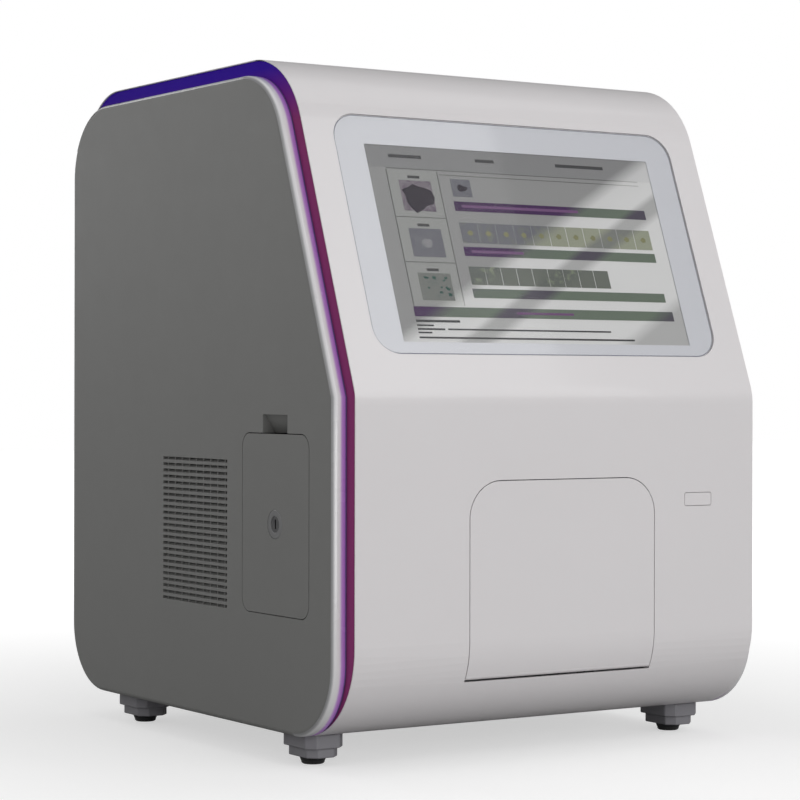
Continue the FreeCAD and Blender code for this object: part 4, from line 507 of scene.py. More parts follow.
finish = {
    "shell": dict(colour=(0.80, 0.775, 0.785), vary=0.012, rough=0.32, roughVary=0.04, grain=0.04,
                  grainScale=900, coat=0.35),
    "panel": dict(colour=(0.235, 0.235, 0.228), vary=0.035, varyScale=9, rough=0.55, roughVary=0.06, grain=0.22,
                  grainScale=2200, coat=0.12, coatRough=0.35),
    "backPlate": dict(colour=(0.62, 0.62, 0.615), vary=0.02, rough=0.5, grain=0.35, grainScale=1600),
    "blackPlastic": dict(colour=(0.022, 0.022, 0.024), vary=0.2, rough=0.45, grain=0.25, grainScale=1800),
    "darkPlastic": dict(colour=(0.06, 0.062, 0.066), vary=0.12, rough=0.5, grain=0.3, grainScale=1500),
    "footPlastic": dict(colour=(0.26, 0.255, 0.275), vary=0.04, rough=0.42, grain=0.15, grainScale=1500),
    "rubber": dict(colour=(0.018, 0.018, 0.019), vary=0.25, rough=0.78, grain=0.5, grainScale=1200, sheen=0.2),
    "steel": dict(colour=(0.56, 0.57, 0.58), vary=0.07, varyScale=40, rough=0.38, roughVary=0.1, grain=0.12,
                  grainScale=700, metallic=1.0),
    "brushed": dict(colour=(0.62, 0.62, 0.63), vary=0.1, varyScale=120, rough=0.34, roughVary=0.12, roughScale=140,
                    grain=0.15, grainScale=260, stretch=(1, 1, 14), metallic=1.0),
    "chrome": dict(colour=(0.78, 0.78, 0.79), vary=0.03, rough=0.16, roughVary=0.05, grain=0.03, metallic=1.0),
    "zinc": dict(colour=(0.55, 0.56, 0.57), vary=0.16, varyScale=110, rough=0.42, roughVary=0.14, roughScale=120,
                 grain=0.1, grainScale=500, metallic=1.0),
    "anodised": dict(colour=(0.10, 0.105, 0.115), vary=0.1, rough=0.36, grain=0.2, grainScale=2000, metallic=0.9),
    "brass": dict(colour=(0.72, 0.53, 0.24), vary=0.08, rough=0.28, metallic=1.0),
    "copper": dict(colour=(0.75, 0.42, 0.28), vary=0.1, rough=0.35, metallic=1.0),
    "lockSteel": dict(colour=(0.30, 0.30, 0.305), vary=0.06, rough=0.36, roughVary=0.08, metallic=0.7),
    "lockPlug": dict(colour=(0.17, 0.17, 0.175), vary=0.1, rough=0.3, roughVary=0.08, metallic=0.8),
    "blackScrew": dict(colour=(0.05, 0.05, 0.052), vary=0.12, rough=0.34, metallic=0.8),
    "magnet": dict(colour=(0.7, 0.7, 0.72), vary=0.08, rough=0.24, metallic=1.0),
    "trayPlastic": dict(colour=(0.50, 0.52, 0.54), vary=0.04, rough=0.5, grain=0.2, grainScale=1400),
    "capBlue": dict(colour=(0.05, 0.16, 0.42), vary=0.08, rough=0.4, grain=0.15),
    "capAmber": dict(colour=(0.55, 0.25, 0.03), vary=0.08, rough=0.4, grain=0.15),
    "tubing": dict(colour=(0.82, 0.80, 0.74), vary=0.05, rough=0.3, coat=0.3),
    "beltRubber": dict(colour=(0.03, 0.03, 0.032), vary=0.2, rough=0.7, grain=0.4, grainScale=1600),
    "lensGlass": dict(colour=(0.03, 0.035, 0.06), vary=0.1, rough=0.05, roughVary=0.02, coat=1.0, coatRough=0.02),
    "lampDome": dict(colour=(0.95, 0.93, 0.82), vary=0.02, rough=0.2, coat=0.6, glow=0.4),
    "chip": dict(colour=(0.02, 0.02, 0.022), vary=0.2, rough=0.38, grain=0.2, grainScale=2500),
    "ledGreen": dict(colour=(0.05, 0.32, 0.08), vary=0.05, rough=0.25, coat=0.5),
    "ledAmber": dict(colour=(0.50, 0.24, 0.02), vary=0.05, rough=0.25, coat=0.5),
    "portBlue": dict(colour=(0.03, 0.12, 0.5), vary=0.06, rough=0.4),
    "white": dict(colour=(0.82, 0.82, 0.81), vary=0.02, rough=0.4),
    "glassBorder": dict(colour=(0.72, 0.73, 0.775), vary=0.01, rough=0.22, coat=0.6, coatRough=0.04),
    "glassLine": dict(colour=(0.24, 0.25, 0.31), vary=0.05, rough=0.3),
    "clearGlass": dict(colour=(0.25, 0.26, 0.28), vary=0.01, rough=0.06, roughVary=0.02, coat=1.0, coatRough=0.02,
                       alpha=0.04),
    "page": dict(colour=(0.27, 0.27, 0.268), vary=0.04, varyScale=5, glow=0.1, **wet),
    "pageHead": dict(colour=(0.225, 0.225, 0.227), vary=0.05, varyScale=6, glow=0.1, **wet),
    "card": dict(colour=(0.29, 0.295, 0.285), vary=0.04, varyScale=12, glow=0.1, **wet),
    "rule": dict(colour=(0.10, 0.105, 0.10), vary=0.05, **wet),
    "bar": dict(colour=(0.035, 0.002, 0.06), vary=0.5, varyScale=22, glow=0.1, **wet),
    "wordsGrey": dict(colour=(0.05, 0.05, 0.052), vary=0.2, **wet),
    "wordsLight": dict(colour=(0.17, 0.07, 0.19), vary=0.1, **wet),
    "blobDark": dict(colour=(0.012, 0.004, 0.016), vary=0.3, varyScale=90, **wet),
    "blobPale": dict(colour=(0.24, 0.24, 0.25), vary=0.2, varyScale=90, **wet),
    "blobTeal": dict(colour=(0.012, 0.07, 0.055), vary=0.3, varyScale=90, **wet),
    "blobYellow": dict(colour=(0.24, 0.24, 0.12), vary=0.2, varyScale=90, **wet),
}
looks = {word: surface(word, **facts) for word, facts in finish.items()}


def stripLightPaint(name):
    # painted light: violet along the top, turning to plum down the slope and the front, a change of colour painted by
    # height for the different light falling on the top and on the front
    material = surface(name, (0.038, 0.0, 0.42), vary=0.06, rough=0.6, roughVary=0.04, grain=0.05, ior=1.12)
    parts = material.node_tree.nodes
    links = material.node_tree.links
    where = parts.new("ShaderNodeTexCoord")
    split = parts.new("ShaderNodeSeparateXYZ")
    links.new(where.outputs["Object"], split.inputs["Vector"])
    # height mask of the painted light: violet above, plum below
    rise = parts.new("ShaderNodeMapRange")
    rise.inputs["From Min"].default_value = 0.365
    rise.inputs["From Max"].default_value = 0.398
    links.new(split.outputs["Z"], rise.inputs["Value"])
    paint = parts.new("ShaderNodeMix")
    paint.data_type = "RGBA"
    paint.inputs["A"].default_value = (0.36, 0.062, 0.22, 1)
    links.new(rise.outputs["Result"], paint.inputs["Factor"])
    shader = parts["Principled BSDF"]
    links.new(shader.inputs["Base Color"].links[0].from_socket, paint.inputs["B"])
    links.new(paint.outputs["Result"], shader.inputs["Base Color"])
    return material


def edgeHighlightPaint(name):
    # painted highlight and painted bounce light on the panel's rounded edge, by the distance from the middle: dark
    # purple against the trim, lilac where light thrown back from the purple trim is painted, silver where the edge's
    # highlight is painted, then grey at the panel's face
    material = surface(name, (0.8, 0.8, 0.8), vary=0.08, varyScale=11, rough=0.26, roughVary=0.06, grain=0.04, coat=0.5)
    parts = material.node_tree.nodes
    links = material.node_tree.links
    where = parts.new("ShaderNodeTexCoord")
    split = parts.new("ShaderNodeSeparateXYZ")
    links.new(where.outputs["Object"], split.inputs["Vector"])
    away = parts.new("ShaderNodeMath")
    away.operation = "ABSOLUTE"
    links.new(split.outputs["X"], away.inputs[0])
    share = parts.new("ShaderNodeMapRange")
    share.inputs["From Min"].default_value = 0.1411
    share.inputs["From Max"].default_value = 0.1500
    links.new(away.outputs[0], share.inputs["Value"])
    # painted light: the lilac stops are bounce light from the purple trim, the silver stops the edge's highlight
    ramp = parts.new("ShaderNodeValToRGB")
    stops = ((0.0, (0.16, 0.12, 0.32)), (0.07, (0.16, 0.12, 0.32)), (0.13, (0.62, 0.26, 0.86)),
             (0.34, (0.66, 0.36, 0.84)), (0.46, (0.84, 0.78, 0.86)), (0.55, (0.86, 0.86, 0.86)),
             (0.84, (0.84, 0.84, 0.85)), (0.95, (0.40, 0.40, 0.41)))
    marks = ramp.color_ramp.elements
    while len(marks) < len(stops):
        marks.new(0.5)
    for mark, (place, colour) in zip(marks, stops):
        mark.position = place
        mark.color = (*colour, 1)
    links.new(share.outputs["Result"], ramp.inputs["Fac"])
    shader = parts["Principled BSDF"]
    blend = parts.new("ShaderNodeMix")
    blend.data_type = "RGBA"
    blend.blend_type = "MULTIPLY"
    blend.inputs["Factor"].default_value = 0.25
    links.new(ramp.outputs["Color"], blend.inputs["A"])
    links.new(shader.inputs["Base Color"].links[0].from_socket, blend.inputs["B"])
    # the painted highlight and bounce light fade to the panel's own colour toward the back
    fade = parts.new("ShaderNodeMapRange")
    fade.inputs["From Min"].default_value = 0.06
    fade.inputs["From Max"].default_value = 0.14
    links.new(split.outputs["Y"], fade.inputs["Value"])
    paint = parts.new("ShaderNodeMix")
    paint.data_type = "RGBA"
    paint.inputs["B"].default_value = (*finish["panel"]["colour"], 1)
    links.new(blend.outputs["Result"], paint.inputs["A"])
    links.new(fade.outputs["Result"], paint.inputs["Factor"])
    links.new(paint.outputs["Result"], shader.inputs["Base Color"])
    return material


def levelPaint(name, above, below, level):
    # milky plastic, darker where the liquid stands behind it; level is a height
    material = surface(name, above, vary=0.04, varyScale=30, rough=0.38, grain=0.1, coat=0.15)
    parts = material.node_tree.nodes
    links = material.node_tree.links
    where = parts.new("ShaderNodeTexCoord")
    split = parts.new("ShaderNodeSeparateXYZ")
    links.new(where.outputs["Object"], split.inputs["Vector"])
    rise = parts.new("ShaderNodeMapRange")
    rise.inputs["From Min"].default_value = level * mm
    rise.inputs["From Max"].default_value = (level + 1.5) * mm
    links.new(split.outputs["Z"], rise.inputs["Value"])
    paint = parts.new("ShaderNodeMix")
    paint.data_type = "RGBA"
    paint.inputs["A"].default_value = (*below, 1)
    links.new(rise.outputs["Result"], paint.inputs["Factor"])
    shader = parts["Principled BSDF"]
    links.new(shader.inputs["Base Color"].links[0].from_socket, paint.inputs["B"])
    links.new(paint.outputs["Result"], shader.inputs["Base Color"])
    return material


def picturePaint(name, ground, marks, scale, low, high):
    # a plain view down a microscope: a ground with soft streaks
    material = surface(name, ground, vary=0.12, varyScale=60, **wet)
    parts = material.node_tree.nodes
    links = material.node_tree.links
    where = parts.new("ShaderNodeTexCoord")
    streaks = parts.new("ShaderNodeTexNoise")
    streaks.inputs["Scale"].default_value = scale
    streaks.inputs["Detail"].default_value = 4
    links.new(where.outputs["Object"], streaks.inputs["Vector"])
    edge = parts.new("ShaderNodeMapRange")
    edge.inputs["From Min"].default_value = low
    edge.inputs["From Max"].default_value = high
    links.new(streaks.outputs["Fac"], edge.inputs["Value"])
    paint = parts.new("ShaderNodeMix")
    paint.data_type = "RGBA"
    paint.inputs["B"].default_value = (*marks, 1)
    links.new(edge.outputs["Result"], paint.inputs["Factor"])
    shader = parts["Principled BSDF"]
    links.new(shader.inputs["Base Color"].links[0].from_socket, paint.inputs["A"])
    links.new(paint.outputs["Result"], shader.inputs["Base Color"])
    return material


def reflectionBandPaint(look, light):
    # painted reflection of a lamp in the screen's glass: the page is darker above its diagonal than below it, with one
    # darker streak; the paler, reflected colour is given
    parts = looks[look].node_tree.nodes
    links = looks[look].node_tree.links
    wide, tall = 2 * screen["pageHalf"], (screen["pageHigh"] - screen["pageLow"]) * math.cos(screen["lean"])
    low = screen["foldZ"] + screen["pageLow"] * math.cos(screen["lean"])
    where = parts.new("ShaderNodeTexCoord")
    across = parts.new("ShaderNodeVectorMath")
    across.operation = "DOT_PRODUCT"
    across.inputs[1].default_value = (1 / (wide * mm), 0, -1 / (tall * mm))
    links.new(where.outputs["Object"], across.inputs[0])
    share = parts.new("ShaderNodeMapRange")
    middle = 0.5 + low / tall
    share.inputs["From Min"].default_value = -1 - middle
    share.inputs["From Max"].default_value = 1 - middle
    links.new(across.outputs["Value"], share.inputs["Value"])
    # stops of the painted reflection: dark above the diagonal, bright below it, with one darker streak
    ramp = parts.new("ShaderNodeValToRGB")
    stops = ((0.475, 0.0), (0.515, 0.9), (0.585, 1.0), (0.605, 0.35), (0.635, 0.35), (0.66, 1.0), (0.865, 1.0),
             (0.905, 0.4))
    marks = ramp.color_ramp.elements
    while len(marks) < len(stops):
        marks.new(0.5)
    for mark, (place, grey) in zip(marks, stops):
        mark.position = place
        mark.color = (grey, grey, grey, 1)
    links.new(share.outputs["Result"], ramp.inputs["Fac"])
    paint = parts.new("ShaderNodeMix")
    paint.data_type = "RGBA"
    paint.inputs["B"].default_value = (*light, 1)
    links.new(ramp.outputs["Color"], paint.inputs["Factor"])
    shader = parts["Principled BSDF"]
    links.new(shader.inputs["Base Color"].links[0].from_socket, paint.inputs["A"])
    links.new(paint.outputs["Result"], shader.inputs["Base Color"])
    if shader.inputs["Emission Color"].is_linked:
        links.new(paint.outputs["Result"], shader.inputs["Emission Color"])


def boardPaint(name):
    # green solder mask with paler tracks
    material = surface(name, (0.012, 0.11, 0.045), vary=0.12, rough=0.32, coat=0.4)
    parts = material.node_tree.nodes
    links = material.node_tree.links
    where = parts.new("ShaderNodeTexCoord")
    lay = parts.new("ShaderNodeMapping")
    lay.inputs["Rotation"].default_value = (math.radians(90), 0, 0)
    links.new(where.outputs["Object"], lay.inputs["Vector"])
    tracks = parts.new("ShaderNodeTexBrick")
    tracks.inputs["Scale"].default_value = 130
    tracks.inputs["Mortar Size"].default_value = 0.035
    tracks.inputs["Mortar Smooth"].default_value = 0.2
    tracks.inputs["Brick Width"].default_value = 1.7
    tracks.inputs["Color1"].default_value = (0.012, 0.10, 0.04, 1)
    tracks.inputs["Color2"].default_value = (0.014, 0.13, 0.055, 1)
    tracks.inputs["Mortar"].default_value = (0.04, 0.26, 0.11, 1)
    links.new(lay.outputs["Vector"], tracks.inputs["Vector"])
    links.new(tracks.outputs["Color"], parts["Principled BSDF"].inputs["Base Color"])
    return material


looks["strip"] = stripLightPaint("strip")
looks["panelEdge"] = edgeHighlightPaint("panelEdge")
looks["bottle"] = levelPaint("bottle", (0.78, 0.80, 0.78), (0.52, 0.66, 0.74), 138)
looks["wasteBottle"] = levelPaint("wasteBottle", (0.76, 0.75, 0.70), (0.66, 0.56, 0.26), 112)
looks["pictureDark"] = picturePaint("pictureDark", (0.21, 0.18, 0.21), (0.08, 0.05, 0.09), 260, 0.5, 0.7)
looks["pictureGrey"] = picturePaint("pictureGrey", (0.145, 0.145, 0.17), (0.17, 0.17, 0.19), 120, 0.5, 0.7)
looks["pictureGreen"] = picturePaint("pictureGreen", (0.175, 0.185, 0.17), (0.14, 0.16, 0.15), 150, 0.5, 0.7)
looks["stripUpper"] = picturePaint("stripUpper", (0.15, 0.152, 0.175), (0.19, 0.20, 0.16), 200, 0.5, 0.75)
looks["stripLower"] = picturePaint("stripLower", (0.115, 0.13, 0.115), (0.26, 0.30, 0.20), 240, 0.52, 0.68)
# the painted reflection laid over the page, its tiles and its pictures
for look, light in (("page", (0.68, 0.68, 0.675)), ("pageHead", (0.62, 0.62, 0.62)), ("card", (0.62, 0.63, 0.61)),
                    ("rule", (0.42, 0.42, 0.41)), ("bar", (0.125, 0.16, 0.12)), ("stripUpper", (0.34, 0.36, 0.27)),
                    ("stripLower", (0.15, 0.165, 0.14))):
    reflectionBandPaint(look, light)
looks["board"] = boardPaint("board")
print("finishes mixed:", len(looks))


# Case covers: the white shell

covers = {"edge": 0.35, "foldReach": 6.0, "foldY": -169.5, "foldZ": 210.0, "foldSteps": 4,
          "lean": math.atan2(73, 194)}


def rollFold(bm):
    # cuts level lines either side of the fold and lays them on an arc
    reach, steps, lean = covers["foldReach"], covers["foldSteps"], covers["lean"]
    fold = Vector((0, covers["foldY"], covers["foldZ"]))
    front = Vector((0, 0, 1))
    slope = Vector((0, math.sin(lean), math.cos(lean)))
    for k in range(-steps, steps + 1):
        along = front if k <= 0 else slope
        bmesh.ops.bisect_plane(bm, geom=bm.verts[:] + bm.edges[:] + bm.faces[:], dist=1e-7,
                               plane_co=(fold + along * (k * reach / steps)) * mm, plane_no=along)
    radius = reach / math.tan(lean / 2)
    middle = fold - front * reach + Vector((0, radius, 0))
    for v in bm.verts:
        away = v.co / mm - fold
        below = abs(away.y) < 0.01 and -reach < away.z <= 0.001
        above = abs(away.cross(slope).x) < 0.01 and 0 < away.dot(slope) < reach
        if below or above:
            t = away.z if below else away.dot(slope)
            angle = (t + reach) / (2 * reach) * lean
            v.co.y = (middle.y - radius * math.cos(angle)) * mm
            v.co.z = (middle.z + radius * math.sin(angle)) * mm


def dressFrontCover():
    bm = nodeCopy("front_cover")
    rollFold(bm)
    mesh = bpy.data.meshes.new("front_cover_skin")
    bm.to_mesh(mesh)
    bm.free()
    mesh.materials.append(looks["shell"])
    piece = link(mesh.name, mesh)
    soften(piece, covers["edge"], 2, 24)
    attach(piece, "front_cover")


dressFrontCover()
for node in ("top_cover", "base_pan"):
    dress(node, looks["shell"], covers["edge"], angle=24)
dress("sample_door", looks["shell"], 0.45, 3, angle=24)
print("covers and door dressed")


# Side panels, vents and trim

panel = {"out": 150.0, "wallIn": 147.0, "edge": 0.3, "ventFront": -40.5, "ventBack": 40.5, "ventLow": 84.0,
         "slot": 1.8, "rows": 24, "rowPitch": (87 - 1.8) / 23, "barPitch": 9.0, "barWidth": 1.0, "barSet": 1.2,
         "slatOut": 1.6, "slatIn": 0.9, "slatRise": 2.1, "slatThick": 0.5}
rim = {"front": -159.5, "low": 18.0, "high": 394.0, "back": 169.5, "inset": 10.0, "foldY": -169.5, "foldZ": 210.0,
       "lean": math.atan2(73, 194), "lowRadius": 43.0, "highRadius": 48.0, "backRadius": 45.0, "fillet": 3.0,
       "inner": 141.15, "thick": 0.2, "steps": 14,
       "backSteps": 11}


def dressPanels():
    low = panel["ventLow"]
    for side, word in ((-1, "left"), (1, "right")):
        dress("side_panel_" + word, looks["panel"], panel["edge"], 2, 30)
        # upright bars behind the long slots break them into shorter ones
        bars = bmesh.new()
        outer = panel["out"] - panel["barSet"]
        block(bars, (min(side * outer, side * panel["wallIn"]), -panel["barWidth"] / 2, panel["ventLow"] - 1),
              (max(side * outer, side * panel["wallIn"]), panel["barWidth"] / 2,
               panel["ventLow"] + panel["rowPitch"] * panel["rows"]))
        count = int((panel["ventBack"] - panel["ventFront"]) / panel["barPitch"])
        first = -(count - 1) / 2 * panel["barPitch"]
        bars = field("vent_bars_" + word, template(bars), looks["panel"], (0, first, 0),
                     (0, panel["barPitch"], 0), count)
        attach(bars, "side_panel_" + word, replace=False)
        # a sloping slat behind each slot keeps dust and eyes out
        slat = bmesh.new()
        near, far = panel["wallIn"] + panel["slatOut"], panel["wallIn"] - panel["slatIn"]
        thick, peak = panel["slatThick"], low + panel["slatRise"]
        section = ((near, low - 0.1), (near - 2 * thick, low - 0.1 - thick), (far, peak - thick), (far, peak))
        slab(slat, section, (panel["ventFront"], panel["ventBack"]), lambda x, z, y: Vector((side * x, y, z)))
        slats = field("vent_slats_" + word, template(slat), looks["panel"], (0, 0, 0), (0, 0, panel["rowPitch"]),
                      panel["rows"])
        attach(slats, "side_panel_" + word, replace=False)


def fillet(before, corner, after, radius, steps):
    # points of the arc that rounds a corner
    back = (Vector(before) - Vector(corner)).normalized()
    ahead = (Vector(after) - Vector(corner)).normalized()
    half = back.angle(ahead) / 2
    centre = Vector(corner) + (back + ahead).normalized() * (radius / math.sin(half))
    first = Vector(corner) + back * (radius / math.tan(half)) - centre
    last = Vector(corner) + ahead * (radius / math.tan(half)) - centre
    turn = math.atan2(first.x * last.y - first.y * last.x, first.dot(last))
    return [tuple(centre + Matrix.Rotation(turn * k / steps, 2) @ first) for k in range(steps + 1)]


def rimLine(grow):
    # the side panel's front and top outline, grown outwards
    r = rim
    lean, inset = r["lean"], r["inset"] - grow
    front, high, low, back = r["front"] - grow, r["high"] + grow, r["low"] - grow, r["back"] + grow
    along = Vector((math.sin(lean), math.cos(lean)))
    start = Vector((r["foldY"] + inset * math.cos(lean), r["foldZ"] - inset * math.sin(lean)))
    fold = start + along * ((front - start.x) / along.x)
    peak = start + along * ((high - start.y) / along.y)
    steps = r["steps"]
    line = fillet((0, low), (front, low), tuple(fold), r["lowRadius"] + grow, steps)
    line.append(tuple(fold))
    line += fillet(tuple(fold), tuple(peak), (0, high), r["highRadius"] + grow, steps)
    line += fillet((0, high), (back, high), (back, 0), r["backRadius"] + grow, steps)[:r["backSteps"]]
    return line


def makeRims():
    r = rim
    bend = panel["out"] - r["fillet"]
    arcs = [math.radians(angle) for angle in (0, 14, 28, 42, 55, 68)]
    over, under = r["fillet"] + r["thick"], r["fillet"] - 0.15
    section = [(r["inner"], r["thick"])]
    section += [(bend + over * math.sin(angle), over * math.cos(angle) - r["fillet"]) for angle in arcs]
    section += [(bend + under * math.sin(angle), under * math.cos(angle) - r["fillet"]) for angle in arcs[::-1]]
    section.append((r["inner"], -0.15))
    for side, word in ((-1, "left"), (1, "right")):
        bm = bmesh.new()
        rows = [[bm.verts.new((side * x, y, z)) for y, z in rimLine(grow)] for x, grow in section]
        for near, far in zip(rows, rows[1:] + rows[:1]):
            for k in range(len(near) - 1):
                bm.faces.new((near[k], near[k + 1], far[k + 1], far[k]))
        for end in (0, -1):
            bm.faces.new([row[end] for row in rows])
        piece = pieceFrom(bm, "panel_edge_" + word, looks["panelEdge"])
        soften(piece, 0, angle=40)
        attach(piece, "side_panel_" + word, replace=False)


makeRims()
dressPanels()
for node in ("trim_strip_left", "trim_strip_right"):
    dress(node, looks["strip"], 0.3, 2, 30)
print("side panels and trim dressed")


# Touch screen: glass, printed border and a plain page on the display



def onSlope(x, up, depth):
    # x across, up the slope from the fold, depth below its face
    lean = screen["lean"]
    return Vector((x, screen["foldY"] + up * math.sin(lean) + depth * math.cos(lean),
                   screen["foldZ"] + up * math.cos(lean) - depth * math.sin(lean)))


def slopeTile(bm, x0, x1, up0, up1, depth0, depth1):
    slab(bm, [(x0, up0), (x1, up0), (x1, up1), (x0, up1)], (depth0, depth1), onSlope)


def makeGlass():
    s = screen
    low, high, half = s["glassLow"], s["glassHigh"], s["glassHalf"]
    bm = bmesh.new()
    slab(bm, roundedOutline(-half, half, low, high, s["glassRadius"], 12), (0.0, s["glassThick"]), onSlope)
    glass = pieceFrom(bm, "touch_glass_pane", looks["clearGlass"])
    soften(glass, 0.4, 3)
    attach(glass, "touch_glass")

    outer = roundedOutline(-half + 0.2, half - 0.2, low + 0.2, high - 0.2, s["glassRadius"] - 0.2, 12)
    seam = roundedOutline(-half + s["line"], half - s["line"], low + s["line"], high - s["line"],
                          s["glassRadius"] - s["line"], 12)
    window = roundedOutline(-s["pageHalf"], s["pageHalf"], s["pageLow"], s["pageHigh"], 0.6, 12)
    for word, big, small, look in (("edge", outer, seam, "glassLine"), ("border", seam, window, "glassBorder")):
        bm = bmesh.new()
        frameSlab(bm, big, small, (s["glassThick"] + 0.02, s["glassThick"] + 0.12), onSlope)
        attach(pieceFrom(bm, "touch_glass_" + word, looks[look]), "touch_glass", replace=False)


makeGlass()

page = {
    # left, right, top, bottom as shares of the page
    "head": [(0.0, 1.0, 0.0, 0.115)],
    "card": [(0.06, 0.225, 0.125, 0.365), (0.06, 0.225, 0.37, 0.595), (0.06, 0.225, 0.60, 0.815)],
    "rule": [(0.06, 0.95, 0.116, 0.119), (0.235, 0.95, 0.138, 0.141), (0.06, 0.225, 0.366, 0.369),
             (0.06, 0.225, 0.596, 0.599), (0.2265, 0.229, 0.125, 0.815), (0.0565, 0.059, 0.125, 0.815)],
    "bar": [(0.265, 0.95, 0.275, 0.325), (0.265, 0.95, 0.51, 0.558), (0.265, 0.95, 0.725, 0.772),
            (0.055, 0.965, 0.822, 0.872)],
    "words": [(0.075, 0.185, 0.045, 0.062), (0.37, 0.435, 0.045, 0.062), (0.655, 0.83, 0.045, 0.062),
              (0.125, 0.165, 0.152, 0.166), (0.125, 0.165, 0.40, 0.414), (0.125, 0.165, 0.628, 0.642),
              (0.055, 0.20, 0.888, 0.900), (0.055, 0.11, 0.912, 0.920), (0.055, 0.145, 0.930, 0.939),
              (0.155, 0.72, 0.930, 0.938), (0.055, 0.10, 0.948, 0.956), (0.055, 0.80, 0.972, 0.981)],
    "lightWords": [(0.29, 0.70, 0.292, 0.306), (0.29, 0.47, 0.527, 0.541), (0.40, 0.60, 0.841, 0.853)],
}
thumbs = [("pictureDark", 0.092, 0.20, 0.178, 0.335), ("pictureGrey", 0.092, 0.20, 0.425, 0.57),
          ("pictureGreen", 0.092, 0.20, 0.652, 0.79), ("pictureGrey", 0.268, 0.335, 0.158, 0.25)]
strips = [("Upper", 0.268, 0.95, 0.385, 0.49, 11), ("Lower", 0.268, 0.76, 0.612, 0.705, 9)]
# look, across, down, wide, tall as shares of the page's width, and how ragged the outline is
blobs = [("blobDark", 0.146, 0.262, 0.046, 0.040, 0.35), ("blobPale", 0.146, 0.500, 0.018, 0.014, 0.12),
         ("blobDark", 0.303, 0.205, 0.016, 0.011, 0.25)]
specks = {"look": "blobTeal", "count": 14, "left": 0.098, "right": 0.194, "top": 0.665, "bottom": 0.78, "seed": 4}


def pageTile(bm, share, depth):
    left, right, top, bottom = share
    wide = 2 * screen["pageHalf"]
    tall = screen["pageHigh"] - screen["pageLow"]
    slopeTile(bm, -wide / 2 + left * wide, -wide / 2 + right * wide, screen["pageHigh"] - bottom * tall,
              screen["pageHigh"] - top * tall, depth, depth + 0.05)


def blob(bm, x, up, wide, tall, ragged, seed, home=Vector()):
    # a flat patch with an uneven outline
    wobble = random.Random(seed)
    points = 14
    reach = [1 + wobble.uniform(-ragged, ragged) for k in range(points)]
    outline = [(x + wide * r * math.cos(2 * math.pi * k / points), up + tall * r * math.sin(2 * math.pi * k / points))
               for k, r in enumerate(reach)]
    slab(bm, outline, (1.22, 1.27), lambda a, b, depth: onSlope(a, b, depth) - home)


def makePage():
    module = dress("lcd_module", looks["steel"], 0.3)
    for word, shares, look, depth in (("page", [(0, 1, 0, 1)], "page", 1.40), ("head", page["head"], "pageHead", 1.34),
                                      ("cards", page["card"], "card", 1.34), ("rules", page["rule"], "rule", 1.28),
                                      ("bars", page["bar"], "bar", 1.28), ("words", page["words"], "wordsGrey", 1.28),
                                      ("lightWords", page["lightWords"], "wordsLight", 1.22)):
        bm = bmesh.new()
        for share in shares:
            pageTile(bm, share, depth)
        attach(pieceFrom(bm, "display_" + word, looks[look]), "lcd_module", replace=False)
    for number, (look, *share) in enumerate(thumbs):
        bm = bmesh.new()
        pageTile(bm, share, 1.28)
        attach(pieceFrom(bm, "display_picture_%d" % number, looks[look]), "lcd_module", replace=False)
    wide = 2 * screen["pageHalf"]
    tall = screen["pageHigh"] - screen["pageLow"]
    for word, left, right, top, bottom, count in strips:
        size = (bottom - top) * tall
        pitch = (right - left) * wide / count
        bm = bmesh.new()
        home = onSlope(0, 0, 0)
        slab(bm, [(0, 0), (pitch * 0.965, 0), (pitch * 0.965, size), (0, size)], (1.28, 1.33),
             lambda x, y, depth: onSlope(x, y, depth) - home)
        start = onSlope(-wide / 2 + left * wide, screen["pageHigh"] - bottom * tall, 0)
        strip = field("display_strip" + word, template(bm), looks["strip" + word], start, (pitch, 0, 0), count)
        attach(strip, "lcd_module", replace=False)
        if word == "Upper":
            bm = bmesh.new()
            blob(bm, 0, 0, 2.0, 1.6, 0.2, 3, home)
            start = onSlope(-wide / 2 + left * wide + pitch / 2, screen["pageHigh"] - (top + bottom) / 2 * tall, 0)
            dots = field("display_dots", template(bm), looks["blobYellow"], start, (pitch, 0, 0), count)
            attach(dots, "lcd_module", replace=False)
    for number, (look, across, down, reach, rise, ragged) in enumerate(blobs):
        bm = bmesh.new()
        blob(bm, (across - 0.5) * wide, screen["pageHigh"] - down * tall, reach * wide, rise * wide, ragged, number)
        attach(pieceFrom(bm, "display_blob_%d" % number, looks[look]), "lcd_module", replace=False)
    bm = bmesh.new()
    spread = random.Random(specks["seed"])
    for k in range(specks["count"]):
        across = spread.uniform(specks["left"], specks["right"])
        down = spread.uniform(specks["top"], specks["bottom"])
        size = spread.uniform(0.6, 1.4)
        blob(bm, (across - 0.5) * wide, screen["pageHigh"] - down * tall, size, size * 0.7, 0.3, k)
    attach(pieceFrom(bm, "display_specks", looks[specks["look"]]), "lcd_module", replace=False)
    return module


makePage()
print("screen made")


# Screws and other small fittings

def crossScrew(radius, height, shank=0.0, shankRadius=1.0):
    # a pan head with a cross recess, seat at local zero and shank below it
    bm = bmesh.new()
    profile = [(0, -shank), (shankRadius, -shank), (shankRadius, 0)] if shank else [(0, 0)]
    profile += [(radius, 0), (radius, height * 0.5), (radius * 0.86, height * 0.88), (radius * 0.6, height), (0, height)]
    lathe(bm, profile, "Z", (0, 0, 0), 24)
    head = template(bm)
    cross = bmesh.new()
    reach, wide = radius * 0.62, radius * 0.13
    outline = [(wide, wide), (reach, wide), (reach, -wide), (wide, -wide), (wide, -reach), (-wide, -reach),
               (-wide, -wide), (-reach, -wide), (-reach, wide), (-wide, wide), (-wide, reach), (wide, reach)]
    slab(cross, outline, (height * 0.35, height + 1), lambda x, y, z: Vector((x, y, z)))
    return carve(head, template(cross))


